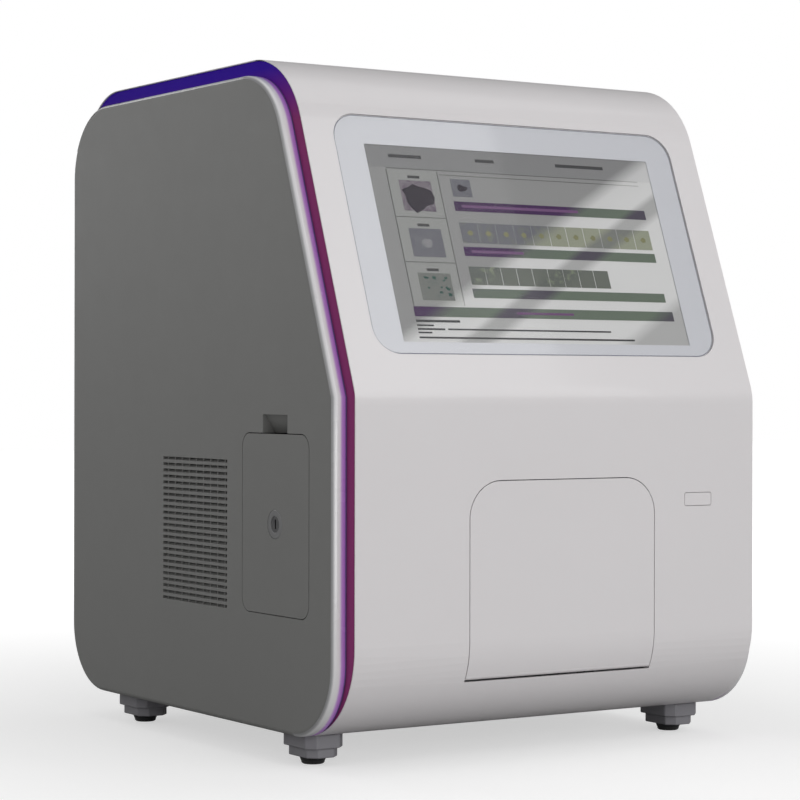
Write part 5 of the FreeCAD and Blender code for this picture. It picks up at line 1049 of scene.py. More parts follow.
def screws(node, name, spots, axis, radius=2.4, height=1.4, look="zinc"):
    group = places(name, crossScrew(radius, height), looks[look], spots, axis, spread=math.pi / 2)
    return attach(group, node, replace=False)


def turnedPiece(name, material, profile, axis, centre, steps=48, angle=40, closed=False):
    bm = bmesh.new()
    lathe(bm, profile + profile[:1] if closed else profile, axis, centre, steps)
    bmesh.ops.remove_doubles(bm, verts=bm.verts, dist=0.0005)
    piece = pieceFrom(bm, name, material)
    return soften(piece, 0, angle=angle)


def loft(bm, rings):
    # rings are lists of places with the same count; both ends are closed
    rows = [[bm.verts.new(place) for place in line] for line in rings]
    count = len(rows[0])
    for near, far in zip(rows, rows[1:]):
        for k in range(count):
            after = (k + 1) % count
            bm.faces.new((near[k], near[after], far[after], far[k]))
    bm.faces.new(rows[0][::-1])
    bm.faces.new(rows[-1])


# Feet

feet = {"x": 129.3, "y": 104.5, "padTop": 8.0, "padLow": 6.5, "padHigh": 4.5, "grooves": 14}


def dressFeet():
    for deep in ("front", "rear"):
        for word in ("left", "right"):
            dress("foot_block_%s_%s" % (deep, word), looks["footPlastic"], 0.7, 3, 30)
    bm = bmesh.new()
    for x in (-feet["x"], feet["x"]):
        for y in (-feet["y"], feet["y"]):
            top, low, high = feet["padTop"], feet["padLow"], feet["padHigh"]
            lathe(bm, [(0, 0.5), (low - 2.6, 0.5), (low - 2.2, 0.05), (low - 0.7, 0.0), (low, 0.5), (low + 0.25, 1.3),
                       (low + 0.05, 1.6), (low + 0.45, 1.9), (top - 0.4, high - 0.9), (top, high - 0.4), (top, high),
                       (0, high)], "Z", (x, y, 0), 56)
    pads = pieceFrom(bm, "foot_pads_skin", looks["rubber"])
    soften(pads, 0, angle=50)
    attach(pads, "foot_pads")


dressFeet()
print("feet made")


# Rear fittings: screws, fan, inlet and ports

rear = {"face": 168.5, "screwX": 130.7, "screwZ": (71, 208, 345), "headRadius": 3.0, "headHeight": 1.0,
        "shank": 6.0, "shankRadius": 1.48}
fan = {"x": 80, "z": 110, "wire": 0.7, "wireY": 167.5, "rings": (7, 14, 21, 28), "reach": 30, "hub": 12.0,
       "hubFront": 154.9, "hubBack": 165.0, "tip": 26.4, "blades": 7, "twist": 38, "span": 15.0, "thick": 1.1}
inlet = {"x": -95, "pinZ": (127, 131, 127), "pinPitch": 7, "pinBack": 163.5, "pinRoot": 153.0, "pivotY": 165.0,
         "pivotZ": 153.0, "tilt": 9, "faceY": 3.5}
ports = {"face": 168.5, "z": 225, "usbX": 30, "usbPitch": 7.6, "lanX": 75}


def makeRearScrews():
    spots = [(side * rear["screwX"], rear["face"], z) for side in (-1, 1) for z in rear["screwZ"]]
    head = crossScrew(rear["headRadius"], rear["headHeight"], rear["shank"], rear["shankRadius"])
    attach(places("case_screws_skin", head, looks["zinc"], spots, "Y", spread=math.pi / 2), "case_screws")


def fanBlade():
    # a thin twisted blade, wide at its tip, about local Z
    f = fan
    bm = bmesh.new()
    rows, columns = 5, 6
    grid = []
    for level in (-1, 1):
        sheet = []
        for i in range(rows + 1):
            radius = f["hub"] - 0.6 + (f["tip"] - f["hub"] + 0.6) * i / rows
            half = f["span"] / 2 * (0.62 + 0.38 * i / rows)
            pitch = math.radians(f["twist"] - 10 * i / rows)
            line = []
            for j in range(columns + 1):
                along = (2 * j / columns - 1) * half
                bow = 0.9 * (1 - (2 * j / columns - 1) ** 2)
                turn = along * math.cos(pitch) / radius + 0.10 * i / rows
                lift = along * math.sin(pitch) * 0.78 + bow + level * f["thick"] / 2
                line.append(bm.verts.new((radius * math.cos(turn), radius * math.sin(turn), lift)))
            sheet.append(line)
        grid.append(sheet)
    for sheet in grid:
        for i in range(rows):
            for j in range(columns):
                bm.faces.new((sheet[i][j], sheet[i][j + 1], sheet[i + 1][j + 1], sheet[i + 1][j]))
    low, high = grid
    rim = [(i, 0) for i in range(rows + 1)] + [(rows, j) for j in range(1, columns + 1)]
    rim += [(i, columns) for i in range(rows - 1, -1, -1)] + [(0, j) for j in range(columns - 1, 0, -1)]
    for (a, b), (c, d) in zip(rim, rim[1:] + rim[:1]):
        bm.faces.new((low[a][b], low[c][d], high[c][d], high[a][b]))
    return template(bm)


def makeFan():
    f = fan
    centre = (f["x"], (f["hubFront"] + f["hubBack"]) / 2, f["z"])
    half = (f["hubBack"] - f["hubFront"]) / 2
    hub = turnedPiece("fan_rotor_hub", looks["blackPlastic"],
                      [(1.56, -half), (f["hub"] - 0.4, -half), (f["hub"], -half + 0.4), (f["hub"], half - 1.4),
                       (f["hub"] - 1.4, half), (3.2, half), (3.0, half - 0.35), (0, half - 0.35), (0, half - 1.4),
                       (1.56, half - 1.4)], "Y", centre, closed=True)
    attach(hub, "fan_rotor")
    blades = ring("fan_rotor_blades", fanBlade(), looks["blackPlastic"], f["blades"], 0, "Y", centre)
    for face in blades.data.polygons:
        face.use_smooth = True
    blades.data.set_sharp_from_angle(angle=math.radians(50))
    attach(blades, "fan_rotor")
    lines = []
    for radius in f["rings"]:
        points = [(f["x"] + radius * math.cos(2 * math.pi * k / 48), f["wireY"], f["z"] + radius * math.sin(
            2 * math.pi * k / 48)) for k in range(48)]
        lines.append((points, True))
    reach = f["reach"]
    lines.append(([(f["x"] - reach, f["wireY"], f["z"]), (f["x"] + reach, f["wireY"], f["z"])], False))
    lines.append(([(f["x"], f["wireY"], f["z"] - reach), (f["x"], f["wireY"], f["z"] + reach)], False))
    attach(path("fan_guard_wires", looks["chrome"], lines, f["wire"]), "fan_guard")
    dress("fan_frame", looks["blackPlastic"], 0.25)


def makeInlet():
    n = inlet
    dress("power_inlet", looks["blackPlastic"], 0.25)
    bm = bmesh.new()
    for k, z in enumerate(n["pinZ"]):
        x = n["x"] + (k - 1) * n["pinPitch"]
        block(bm, (x - 1.07, n["pinRoot"], z - 2.07), (x + 1.07, n["pinBack"] + 0.07, z + 2.07))
    pins = pieceFrom(bm, "inlet_pins", looks["brass"])
    soften(pins, 0.3, 2)
    attach(pins, "power_inlet", replace=False)
    dress("rocker_switch", looks["blackPlastic"], 0.35, 3)
    # a bar for on and a ring for off, raised on the rocker's face
    tilt = Matrix.Translation((n["x"], n["pivotY"], n["pivotZ"])) @ Matrix.Rotation(math.radians(n["tilt"]), 4, "X")

    def onRocker(x, z, depth):
        return tilt @ Vector((x, n["faceY"] + depth, z))

    bm = bmesh.new()
    slab(bm, [(-0.35, 2.0), (0.35, 2.0), (0.35, 5.0), (-0.35, 5.0)], (-0.05, 0.12), onRocker)
    outer = [(1.55 * math.cos(2 * math.pi * k / 32), 1.55 * math.sin(2 * math.pi * k / 32) - 3.4) for k in range(32)]
    inner = [(1.0 * math.cos(2 * math.pi * k / 32), 1.0 * math.sin(2 * math.pi * k / 32) - 3.4) for k in range(32)]
    frameSlab(bm, outer, inner, (-0.05, 0.12), onRocker)
    attach(pieceFrom(bm, "rocker_marks", looks["white"]), "rocker_switch", replace=False)


def makePorts():
    p = ports
    dress("io_ports", looks["steel"], 0.15)
    bm = bmesh.new()
    for side in (-0.5, 0.5):
        z = p["z"] + side * p["usbPitch"] + 0.7
        block(bm, (p["usbX"] - 5.6, 158.3, z - 0.9), (p["usbX"] + 5.6, p["face"] - 0.9, z + 0.9))
    tongues = pieceFrom(bm, "usb_tongues", looks["portBlue"])
    soften(tongues, 0.25, 2)
    attach(tongues, "io_ports", replace=False)
    for word, side in (("low", -0.5), ("high", 0.5)):
        z = p["z"] + side * p["usbPitch"] + 0.7 - 0.93
        strip = bmesh.new()
        block(strip, (-0.5, 0, -0.07), (0.5, 7.0, 0.07))
        attach(field("usb_contacts_" + word, template(strip), looks["brass"], (p["usbX"] - 3.75, 159.8, z),
                     (2.5, 0, 0), 4), "io_ports", replace=False)
    leaf = bmesh.new()
    slab(leaf, [(0, 0), (7.0, -1.9), (7.0, -1.6), (0, 0.3)], (-0.22, 0.22), lambda y, z, x: Vector((x, y, z)))
    attach(field("lan_contacts", template(leaf), looks["brass"], (p["lanX"] - 3.57, 158.8, p["z"] + 3.7),
                 (1.02, 0, 0), 8), "io_ports", replace=False)
    for word, side, look in (("left", -1, "ledGreen"), ("right", 1, "ledAmber")):
        bm = bmesh.new()
        block(bm, (p["lanX"] + side * 6.95 - 0.75, p["face"] - 0.3, p["z"] + 4.3),
              (p["lanX"] + side * 6.95 + 0.75, p["face"] + 0.12, p["z"] + 6.2))
        lamp = pieceFrom(bm, "lan_lamp_" + word, looks[look])
        soften(lamp, 0.08, 1)
        attach(lamp, "io_ports", replace=False)


makeRearScrews()
makeFan()
makeInlet()
makePorts()
print("rear fittings made")


# Drives: motors, pulleys, belt and focus screw

drives = {"beltX": 33, "beltZ": 51.5, "idlerY": -135, "driveY": 108, "pulley": 8.0, "core": 7.35, "flange": 9.4,
          "bore": 2.56, "half": 3.4, "rim": 1.2, "teeth": 20, "beltIn": 8.1, "toothPitch": 3.0, "toothHigh": 0.6,
          "screwX": 40, "screwY": 80.7, "screwLow": 118, "screwHigh": 225.7, "lead": 8, "starts": 4,
          "crest": 3.0, "root": 2.45}


def cornerCut(low, high, cut):
    # a rectangle with its corners cut off
    (x0, y0), (x1, y1) = low, high
    return [(x0 + cut, y0), (x1 - cut, y0), (x1, y0 + cut), (x1, y1 - cut), (x1 - cut, y1), (x0 + cut, y1),
            (x0, y1 - cut), (x0, y0 + cut)]


def stepperMotor(node, axis, near, far, low, high, plug):
    # end caps and a stack between them along the axis; low and high are the corners across it
    def put(a, b, along):
        return Vector((along, a, b)) if axis == "X" else Vector((a, b, along))

    length = far - near
    for word, start, end, shrink, cut, look in (
            ("cap_near", near, near + 0.24 * length, 0, 2.6, "steel"),
            ("stack", near + 0.24 * length, far - 0.26 * length, 0.35, 4.6, "blackPlastic"),
            ("cap_far", far - 0.26 * length, far, 0, 2.6, "steel")):
        bm = bmesh.new()
        slab(bm, cornerCut((low[0] + shrink, low[1] + shrink), (high[0] - shrink, high[1] - shrink), cut),
             (start, end), put)
        piece = pieceFrom(bm, node + "_" + word, looks[look])
        soften(piece, 0.35, 2)
        attach(piece, node)
    inset = 4.2
    spots = [tuple(put(a, b, far)) for a in (low[0] + inset, high[0] - inset) for b in (low[1] + inset, high[1] - inset)]
    screws(node, node + "_screws", spots, axis, 1.9, 0.7)
    bm = bmesh.new()
    block(bm, *plug)
    piece = pieceFrom(bm, node + "_plug", looks["white"])
    soften(piece, 0.4, 2)
    attach(piece, node, replace=False)


def makePulleys():
    d = drives
    for node, y in (("drive_pulley", d["driveY"]), ("idler_pulley", d["idlerY"])):
        end = d["half"] + d["rim"]
        wheel = turnedPiece(node + "_wheel", looks["steel"],
                            [(d["bore"], -end), (d["flange"] - 0.3, -end), (d["flange"], -end + 0.3),
                             (d["flange"], -d["half"] - 0.2), (d["core"], -d["half"]), (d["core"], d["half"]),
                             (d["flange"], d["half"] + 0.2), (d["flange"], end - 0.3), (d["flange"] - 0.3, end),
                             (d["bore"], end)], "X", (d["beltX"], y, d["beltZ"]), closed=True)
        attach(wheel, node)
        tooth = bmesh.new()
        slab(tooth, [(d["core"] - 0.3, -0.75), (d["pulley"] - 0.04, -0.42), (d["pulley"] - 0.04, 0.42),
                     (d["core"] - 0.3, 0.75)], (-d["half"], d["half"]), lambda x, y, z: Vector((x, y, z)))
        teeth = ring(node + "_teeth", template(tooth), looks["steel"], d["teeth"], 0, "X", (d["beltX"], y, d["beltZ"]))
        attach(teeth, node)


def makeBelt():
    d = drives
    dress("drive_belt", looks["beltRubber"], 0.15)
    count = int((d["driveY"] - d["idlerY"] - 18) / d["toothPitch"])
    for word, side in (("upper", 1), ("lower", -1)):
        tooth = bmesh.new()
        reach = side * d["toothHigh"]
        slab(tooth, [(-0.8, 0.06 * side), (0.8, 0.06 * side), (0.5, -reach), (-0.5, -reach)], (-2.9, 2.9),
             lambda y, z, x: Vector((x, y, z)))
        teeth = field("belt_teeth_" + word, template(tooth), looks["beltRubber"],
                      (d["beltX"], d["idlerY"] + 10.5, d["beltZ"] + side * d["beltIn"]), (0, d["toothPitch"], 0), count)
        attach(teeth, "drive_belt", replace=False)


def makeFocusScrew():
    # a thread of several starts, laid on rings that step up the screw
    d = drives
    bm = bmesh.new()
    steps, rise = 24, 0.5
    low, high = d["screwLow"] + 0.8, d["screwHigh"] - 0.8
    count = int((high - low) / rise)
    rings = [[(d["screwX"] + 2.0 * math.cos(2 * math.pi * k / steps),
               d["screwY"] + 2.0 * math.sin(2 * math.pi * k / steps), d["screwLow"]) for k in range(steps)]]
    for row in range(count + 1):
        z = low + (high - low) * row / count
        line = []
        for k in range(steps):
            angle = 2 * math.pi * k / steps
            wave = math.cos(d["starts"] * (angle - 2 * math.pi * z / d["lead"]))
            radius = (d["crest"] + d["root"]) / 2 + (d["crest"] - d["root"]) / 2 * max(-1, min(1, 1.5 * wave))
            line.append((d["screwX"] + radius * math.cos(angle), d["screwY"] + radius * math.sin(angle), z))
        rings.append(line)
    rings.append([(x, y, d["screwHigh"]) for x, y, z in rings[0]])
    loft(bm, rings)
    piece = pieceFrom(bm, "focus_screw_thread", looks["brushed"])
    soften(piece, 0, angle=60)
    attach(piece, "focus_screw")


stepperMotor("tray_motor", "X", 38, 66, (90.5, 34), (125.5, 69), ((50, 100, 68.6), (60, 114, 73.5)))
shaft = turnedPiece("tray_motor_shaft", looks["brushed"], [(0, 27.0), (2.1, 27.0), (2.5, 27.4), (2.5, 38.4), (0, 38.4)],
                    "X", (0, drives["driveY"], drives["beltZ"]), 32)
attach(shaft, "tray_motor")
stepperMotor("focus_motor", "Z", 226, 254, (26, 66.7), (54, 94.7), ((34, 62.5, 244), (46, 67.1, 251)))
makePulleys()
makeBelt()
makeFocusScrew()
print("drives made")


# Microscope: objective, camera and lamp

scope = {"x": 12, "y": 30, "knurls": 56, "fins": 8, "cameraLow": 150, "cameraHigh": 182, "cameraHalf": 18,
         "cameraY": 32}


def makeObjective():
    centre = (scope["x"], scope["y"], 0)
    body = turnedPiece("objective_body", looks["chrome"],
                       [(0, 140), (11.9, 140), (11.9, 136.4), (11.3, 136.0), (11.3, 133.4), (11.9, 133.0), (11.9, 132.6),
                        (11.45, 132.5), (11.45, 124.5), (11.9, 124.4), (11.9, 114.2), (11.3, 113.6), (10.6, 111.2),
                        (9.0, 104.6), (8.9, 103.2), (8.3, 102.6), (7.4, 96.0), (6.9, 92.3), (6.5, 92.0), (4.3, 92.0),
                        (4.0, 93.2), (0, 93.2)], "Z", centre, 64, angle=28)
    attach(body, "objective_lens")
    rib = bmesh.new()
    slab(rib, [(11.3, -0.28), (11.88, -0.1), (11.88, 0.1), (11.3, 0.28)], (125.2, 132.0),
         lambda x, y, z: Vector((x, y, z)))
    attach(ring("objective_knurl", template(rib), looks["chrome"], scope["knurls"], 0, "Z", centre), "objective_lens")
    band = turnedPiece("objective_band", looks["capBlue"], [(11.7, 118.0), (11.96, 118.1), (11.96, 120.4), (11.7, 120.5)],
                       "Z", centre, 64, closed=True)
    attach(band, "objective_lens", replace=False)
    lens = turnedPiece("objective_glass", looks["lensGlass"], [(0, 93.4), (3.9, 93.4), (3.9, 93.0), (2.8, 92.5),
                                                              (1.4, 92.25), (0, 92.2)], "Z", centre, 48)
    attach(lens, "objective_lens", replace=False)


def makeScopeCamera():
    s = scope
    x, y, half = s["x"], s["cameraY"], s["cameraHalf"]
    bm = bmesh.new()
    slab(bm, roundedOutline(x - half, x + half, y - half + 1, y + half, 2.5, 5), (s["cameraLow"], 171),
         lambda a, b, z: Vector((a, b, z)))
    body = pieceFrom(bm, "camera_body", looks["anodised"])
    soften(body, 0.5, 3)
    attach(body, "camera_module")
    fin = bmesh.new()
    block(fin, (-0.8, y - half + 2, 170.5), (0.8, y + half - 1, s["cameraHigh"]))
    pitch = (2 * half - 4) / (s["fins"] - 1)
    fins = field("camera_fins", template(fin, 0.3, 2), looks["anodised"], (x - half + 2, 0, 0), (pitch, 0, 0), s["fins"])
    attach(fins, "camera_module")
    bm = bmesh.new()
    block(bm, (x - 7, y - half + 0.1, 156), (x + 7, y - half + 2, 162))
    socket = pieceFrom(bm, "camera_socket", looks["blackPlastic"])
    soften(socket, 0.4, 2)
    attach(socket, "camera_module", replace=False)
    spots = [(x + dx, y - half + 1, z) for dx in (-14, 14) for z in (154, 167)]
    screws("camera_module", "camera_screws", spots, "-Y", 1.4, 0.8)


def makeLamp():
    centre = (scope["x"], scope["y"], 0)
    profile = [(0, 34), (12, 34), (12, 36.4), (11.4, 37), (9.8, 37)]
    for k in range(4):
        low = 38.2 + 3.6 * k
        profile += [(9.8, low), (11.6, low + 0.1), (11.6, low + 1.5), (9.8, low + 1.6)]
    profile += [(9.8, 52.6), (11.6, 52.8), (12, 53.2), (12, 57.4), (11.5, 58), (9.2, 58), (9.0, 57.6), (9.0, 55.2),
                (0, 55.2)]
    attach(turnedPiece("stage_lamp_body", looks["anodised"], profile, "Z", centre, 56, angle=30), "stage_lamp")
    dome = [(8.9, 55.0), (8.9, 55.3)]
    dome += [(8.9 * math.cos(math.radians(a)), 55.3 + 2.3 * math.sin(math.radians(a))) for a in (15, 30, 45, 60, 75)]
    dome += [(0, 57.6), (0, 55.0)]
    attach(turnedPiece("stage_lamp_dome", looks["lampDome"], dome[::-1][1:], "Z", centre, 48, angle=60), "stage_lamp",
           replace=False)


makeObjective()
makeScopeCamera()
makeLamp()
print("microscope made")


# Sample tray and rails

tray = {"railX": 50, "railTop": 54, "railSpots": [-132 + 35 * k for k in range(7)], "wellX": -38,
        "wells": (-131, -103, -75), "top": 78, "wellRadius": 8.2}


def makeTray():
    t = tray
    spots = [(side * t["railX"], y, t["railTop"]) for side in (-1, 1) for y in t["railSpots"]]
    rails = dress("tray_rails", looks["brushed"], 0.25)
    pit = bmesh.new()
    lathe(pit, [(0, -2.6), (2.7, -2.6), (2.7, 1), (0, 1)], "Z", (0, 0, 0), 24)
    carve(rails, places("pits", template(pit), looks["brushed"], spots, "Z"))
    sunk = [(x, y, t["railTop"] - 2.55) for x, y, z in spots]
    screws("tray_rails", "tray_rail_screws", sunk, "Z", 2.4, 1.8, "blackScrew")
    dress("sample_tray", looks["trayPlastic"], 0.4)
    for number, y in enumerate(t["wells"]):
        r = t["wellRadius"]
        collar = turnedPiece("tray_well_ring_%d" % number, looks["white"],
                             [(r + 0.05, t["top"] - 0.4), (r + 1.5, t["top"] - 0.4), (r + 1.5, t["top"] + 0.35),
                              (r + 1.2, t["top"] + 0.6), (r + 0.3, t["top"] + 0.6), (r + 0.05, t["top"] + 0.4)],
                             "Z", (t["wellX"], y, 0), 48, closed=True)
        attach(collar, "sample_tray", replace=False)


makeTray()
print("tray made")


# Bottles and pump

bottles = {"x": -108.0, "low": 86.5, "tall": 74, "halfX": 22.0, "halfY": 17.0, "corner": 5.0, "neck": 9.0, "cap": 11.5,
           "capLow": 162.5, "capHigh": 176.5, "ribs": 44, "marks": 6, "waist": 1.2}
pump = {"x": -80, "z": 290, "face": 98.0, "front": 87.0, "back": 97.5, "hub": 12.0, "roller": 4.0, "circle": 14.0,
        "shaft": 3.05, "lining": 19.5}


def makeBottle(node, y, look, capLook):
    b = bottles
    rings = []
    levels = [(0, 3.5), (0.9, 1.4), (2.6, 0.3), (5, 0), (16, 0), (20, b["waist"]), (50, b["waist"]), (54, 0), (65, 0),
              (68.5, 0.5), (71.6, 2.2), (73.4, 5.0)]
    for rise, inset in levels:
        outline = roundedOutline(b["x"] - b["halfX"] + inset, b["x"] + b["halfX"] - inset, y - b["halfY"] + inset,
                                 y + b["halfY"] - inset, b["corner"] + 1, 6)
        rings.append([Vector((px, py, b["low"] + rise)) for px, py in outline])
    count = len(rings[0])
    for radius, rise in ((b["neck"] + 1.4, 74), (b["neck"], 74.8), (b["neck"], 82)):
        round_ = []
        for point in rings[len(levels) - 1]:
            away = Vector((point.x - b["x"], point.y - y, 0)).normalized() * radius
            round_.append(Vector((b["x"] + away.x, y + away.y, b["low"] + rise)))
        rings.append(round_)
    bm = bmesh.new()
    loft(bm, rings)
    body = pieceFrom(bm, node + "_body", looks[look])
    soften(body, 0, angle=60)
    attach(body, node)
    cap = turnedPiece(node + "_cap", looks[capLook],
                      [(0, b["capLow"]), (b["cap"] - 0.5, b["capLow"]), (b["cap"], b["capLow"] + 0.5),
                       (b["cap"], b["capLow"] + 2.2), (b["cap"] - 0.35, b["capLow"] + 2.4),
                       (b["cap"] - 0.45, b["capHigh"] - 1.6), (b["cap"] - 1.6, b["capHigh"] - 0.3),
                       (b["cap"] - 2.4, b["capHigh"]), (b["cap"] - 3.4, b["capHigh"] - 0.6), (0, b["capHigh"] - 0.6)],
                      "Z", (b["x"], y, 0), 56)
    attach(cap, node)
    rib = bmesh.new()
    slab(rib, [(b["cap"] - 0.6, -0.3), (b["cap"] - 0.02, -0.14), (b["cap"] - 0.02, 0.14), (b["cap"] - 0.6, 0.3)],
         (b["capLow"] + 2.6, b["capHigh"] - 2.2), lambda px, py, z: Vector((px, py, z)))
    attach(ring(node + "_cap_ribs", template(rib), looks[capLook], b["ribs"], 0, "Z", (b["x"], y, 0)), node)
    # plain level marks and a bare label on the side that faces the hatch
    side = b["x"] - b["halfX"]
    mark = bmesh.new()
    block(mark, (side + b["waist"] - 0.12, y + 9.0, b["low"] + 22), (side + b["waist"] + 0.3, y + 13.0, b["low"] + 22.7))
    attach(field(node + "_marks", template(mark), looks["wordsGrey"], (0, 0, 0), (0, 0, 5), b["marks"]), node,
           replace=False)
    bm = bmesh.new()
    slab(bm, roundedOutline(y - 12.5, y + 6.0, b["low"] + 22, b["low"] + 48, 1.6, 4),
         (side + b["waist"] - 0.14, side + b["waist"] + 0.3), lambda py, z, px: Vector((px, py, z)))
    attach(pieceFrom(bm, node + "_label", looks["white"]), node, replace=False)


def makePump():
    p = pump
    dress("pump_body", looks["darkPlastic"], 0.4, 3)
    points = [(p["x"] + p["lining"] * math.cos(2 * math.pi * k / 64), 92.0,
               p["z"] + p["lining"] * math.sin(2 * math.pi * k / 64)) for k in range(64)]
    attach(path("pump_lining", looks["tubing"], [(points, True)], 1.05, 12), "pump_body", replace=False)
    spots = [(p["x"] + dx, p["face"], p["z"] + dz) for dx in (-21, 21) for dz in (-21, 21)]
    screws("pump_body", "pump_screws", spots, "-Y", 2.2, 1.4)
    centre = (p["x"], 0, p["z"])
    hub = turnedPiece("pump_rotor_hub", looks["white"],
                      [(p["shaft"], p["back"]), (p["hub"] - 0.6, p["back"]), (p["hub"], p["back"] - 0.6),
                       (p["hub"], p["front"] + 0.8), (p["hub"] - 0.8, p["front"]), (7.2, p["front"]),
                       (6.9, p["front"] + 1.2), (p["shaft"], p["front"] + 1.2)], "Y", centre, 48, closed=True)
    attach(hub, "pump_rotor")
    roller = bmesh.new()
    half = (p["back"] - p["front"]) / 2
    r = p["roller"]
    lathe(roller, [(0, -half), (1.3, -half), (1.3, -half + 0.4), (r - 0.5, -half + 0.4), (r, -half + 0.9),
                   (r, half - 0.9), (r - 0.5, half - 0.4), (1.3, half - 0.4), (1.3, half), (0, half)], "Z", (0, 0, 0), 28)
    spots = [(p["x"] + p["circle"] * math.cos(math.radians(90 + 120 * k)), (p["front"] + p["back"]) / 2,
              p["z"] + p["circle"] * math.sin(math.radians(90 + 120 * k))) for k in range(3)]
    rollers = places("pump_rollers", template(roller), looks["chrome"], spots, "Y")
    soften(rollers, 0, angle=40)
    attach(rollers, "pump_rotor")


for node, y, look, capLook in (("reagent_bottle", -114.5, "bottle", "capBlue"),
                               ("waste_bottle", -78.5, "wasteBottle", "capAmber")):
    makeBottle(node, y, look, capLook)
makePump()
print("bottles and pump made")


# Main board and power supply

board = {"x": 55, "z": 255, "half": 75, "back": 136.6, "corner": 67,
         # middle x, middle z, half width, half height, depth
         "chips": [(8, 288, 8, 8, 1.6), (36, 304, 5, 5, 1.2), (60, 262, 4, 4, 1.2), (110, 262, 7, 4, 1.4),
                   (20, 256, 5, 3, 1.2), (112, 232, 4, 3, 1.2)],
         "cans": [(-10, 196), (-10, 208), (-10, 220), (2, 196), (118, 312), (106, 312)],
         "sink": (88, 292, 14), "headerZ": 188, "headerX": (16, 90)}
supply = {"low": (-130, 129.5, 60), "high": (-20, 161.5, 112), "cell": 5.4, "columns": 18, "rows": 8}


def makeBoard():
    b = board
    dress("main_board", looks["board"], 0.1)
    bm = bmesh.new()
    for x, z, wide, tall, deep in b["chips"]:
        block(bm, (x - wide, b["back"] + 0.3, z - tall), (x + wide, b["back"] + deep, z + tall))
    chips = pieceFrom(bm, "board_chips", looks["chip"])
    soften(chips, 0.2, 2)
    attach(chips, "main_board", replace=False)
    for number, (x, z, wide, tall, deep) in enumerate(b["chips"][:4]):
        for word, across, up, start in (
                ("h", (1.3, 0, 0), (0, 0, 2 * tall + 0.6), (x - wide + 0.9, b["back"], z - tall - 0.3)),
                ("v", (2 * wide + 0.6, 0, 0), (0, 0, 1.3), (x - wide - 0.3, b["back"], z - tall + 0.9))):
            leg = bmesh.new()
            long = (0.25, 0.7) if word == "h" else (0.7, 0.25)
            block(leg, (-long[0], 0, -long[1]), (long[0], 0.6, long[1]))
            many = int((2 * (wide if word == "h" else tall) - 1.2) / 1.3) + 1
            columns, rows = (many, 2) if word == "h" else (2, many)
            attach(field("board_legs_%d%s" % (number, word), template(leg), looks["zinc"], start, across, columns, up, rows),
                   "main_board", replace=False)
    can = bmesh.new()
    lathe(can, [(0, 0), (4.2, 0), (4.2, 1), (3.9, 1.2), (3.9, 1.7), (4.0, 2.0), (4.0, 9.4), (3.5, 10), (0, 9.8)], "Z",
          (0, 0, 0), 24)
    spots = [(x, b["back"], z) for x, z in b["cans"]]
    cans = places("board_cans", template(can), looks["zinc"], spots, "Y")
    soften(cans, 0, angle=40)
    attach(cans, "main_board", replace=False)
    x, z, half = b["sink"]
    bm = bmesh.new()
    block(bm, (x - half, b["back"] + 1.4, z - half), (x + half, b["back"] + 4, z + half))
    base = pieceFrom(bm, "board_sink_base", looks["anodised"])
    soften(base, 0.3, 2)
    attach(base, "main_board", replace=False)
    bm = bmesh.new()
    block(bm, (x - half + 3, b["back"], z - half + 3), (x + half - 3, b["back"] + 1.6, z + half - 3))
    attach(pieceFrom(bm, "board_sink_chip", looks["chip"]), "main_board", replace=False)
    fin = bmesh.new()
    block(fin, (-0.5, b["back"] + 3.9, z - half), (0.5, b["back"] + 13, z + half))
    attach(field("board_sink_fins", template(fin), looks["anodised"], (x - half + 1, 0, 0), ((2 * half - 2) / 9, 0, 0), 10),
           "main_board", replace=False)
    for number, middle in enumerate(b["headerX"]):
        bm = bmesh.new()
        outer = [(middle - 16, b["headerZ"] - 4), (middle + 16, b["headerZ"] - 4), (middle + 16, b["headerZ"] + 4),
                 (middle - 16, b["headerZ"] + 4)]
        inner = [(middle - 15, b["headerZ"] - 3), (middle + 15, b["headerZ"] - 3), (middle + 15, b["headerZ"] + 3),
                 (middle - 15, b["headerZ"] + 3)]
        frameSlab(bm, outer, inner, (b["back"], b["back"] + 8.5), lambda px, pz, y: Vector((px, y, pz)))
        block(bm, (middle - 15.2, b["back"], b["headerZ"] - 3.2), (middle + 15.2, b["back"] + 1.2, b["headerZ"] + 3.2))
        attach(pieceFrom(bm, "board_header_%d" % number, looks["blackPlastic"]), "main_board", replace=False)
        pin = bmesh.new()
        block(pin, (-0.32, b["back"] + 1.0, -0.32), (0.32, b["back"] + 7, 0.32))
        attach(field("board_pins_%d" % number, template(pin), looks["brass"], (middle - 12.7, 0, b["headerZ"] - 1.27),
                     (2.54, 0, 0), 11, (0, 0, 2.54), 2), "main_board", replace=False)
    small = bmesh.new()
    block(small, (-0.8, 0, -0.45), (0.8, 0.55, 0.45))
    spread = random.Random(11)
    spots = []
    while len(spots) < 46:
        px, pz = spread.uniform(-14, 124), spread.uniform(196, 322)
        near = any(abs(px - cx) < wide + 3 and abs(pz - cz) < tall + 3 for cx, cz, wide, tall, deep in b["chips"])
        near = near or any(abs(px - cx) < 6 and abs(pz - cz) < 6 for cx, cz in b["cans"])
        near = near or (abs(px - x) < half + 3 and abs(pz - z) < half + 3) or (abs(pz - 225) < 10 and 20 < px < 86)
        if not near:
            spots.append((px, b["back"], pz))
    attach(places("board_small_parts", template(small), looks["chip"], spots, "Y"), "main_board", replace=False)
    corners = [(b["x"] + sx * b["corner"], b["back"], b["z"] + sz * b["corner"]) for sx in (-1, 1) for sz in (-1, 1)]
    screws("main_board", "board_screws", corners, "Y", 3.0, 1.6)


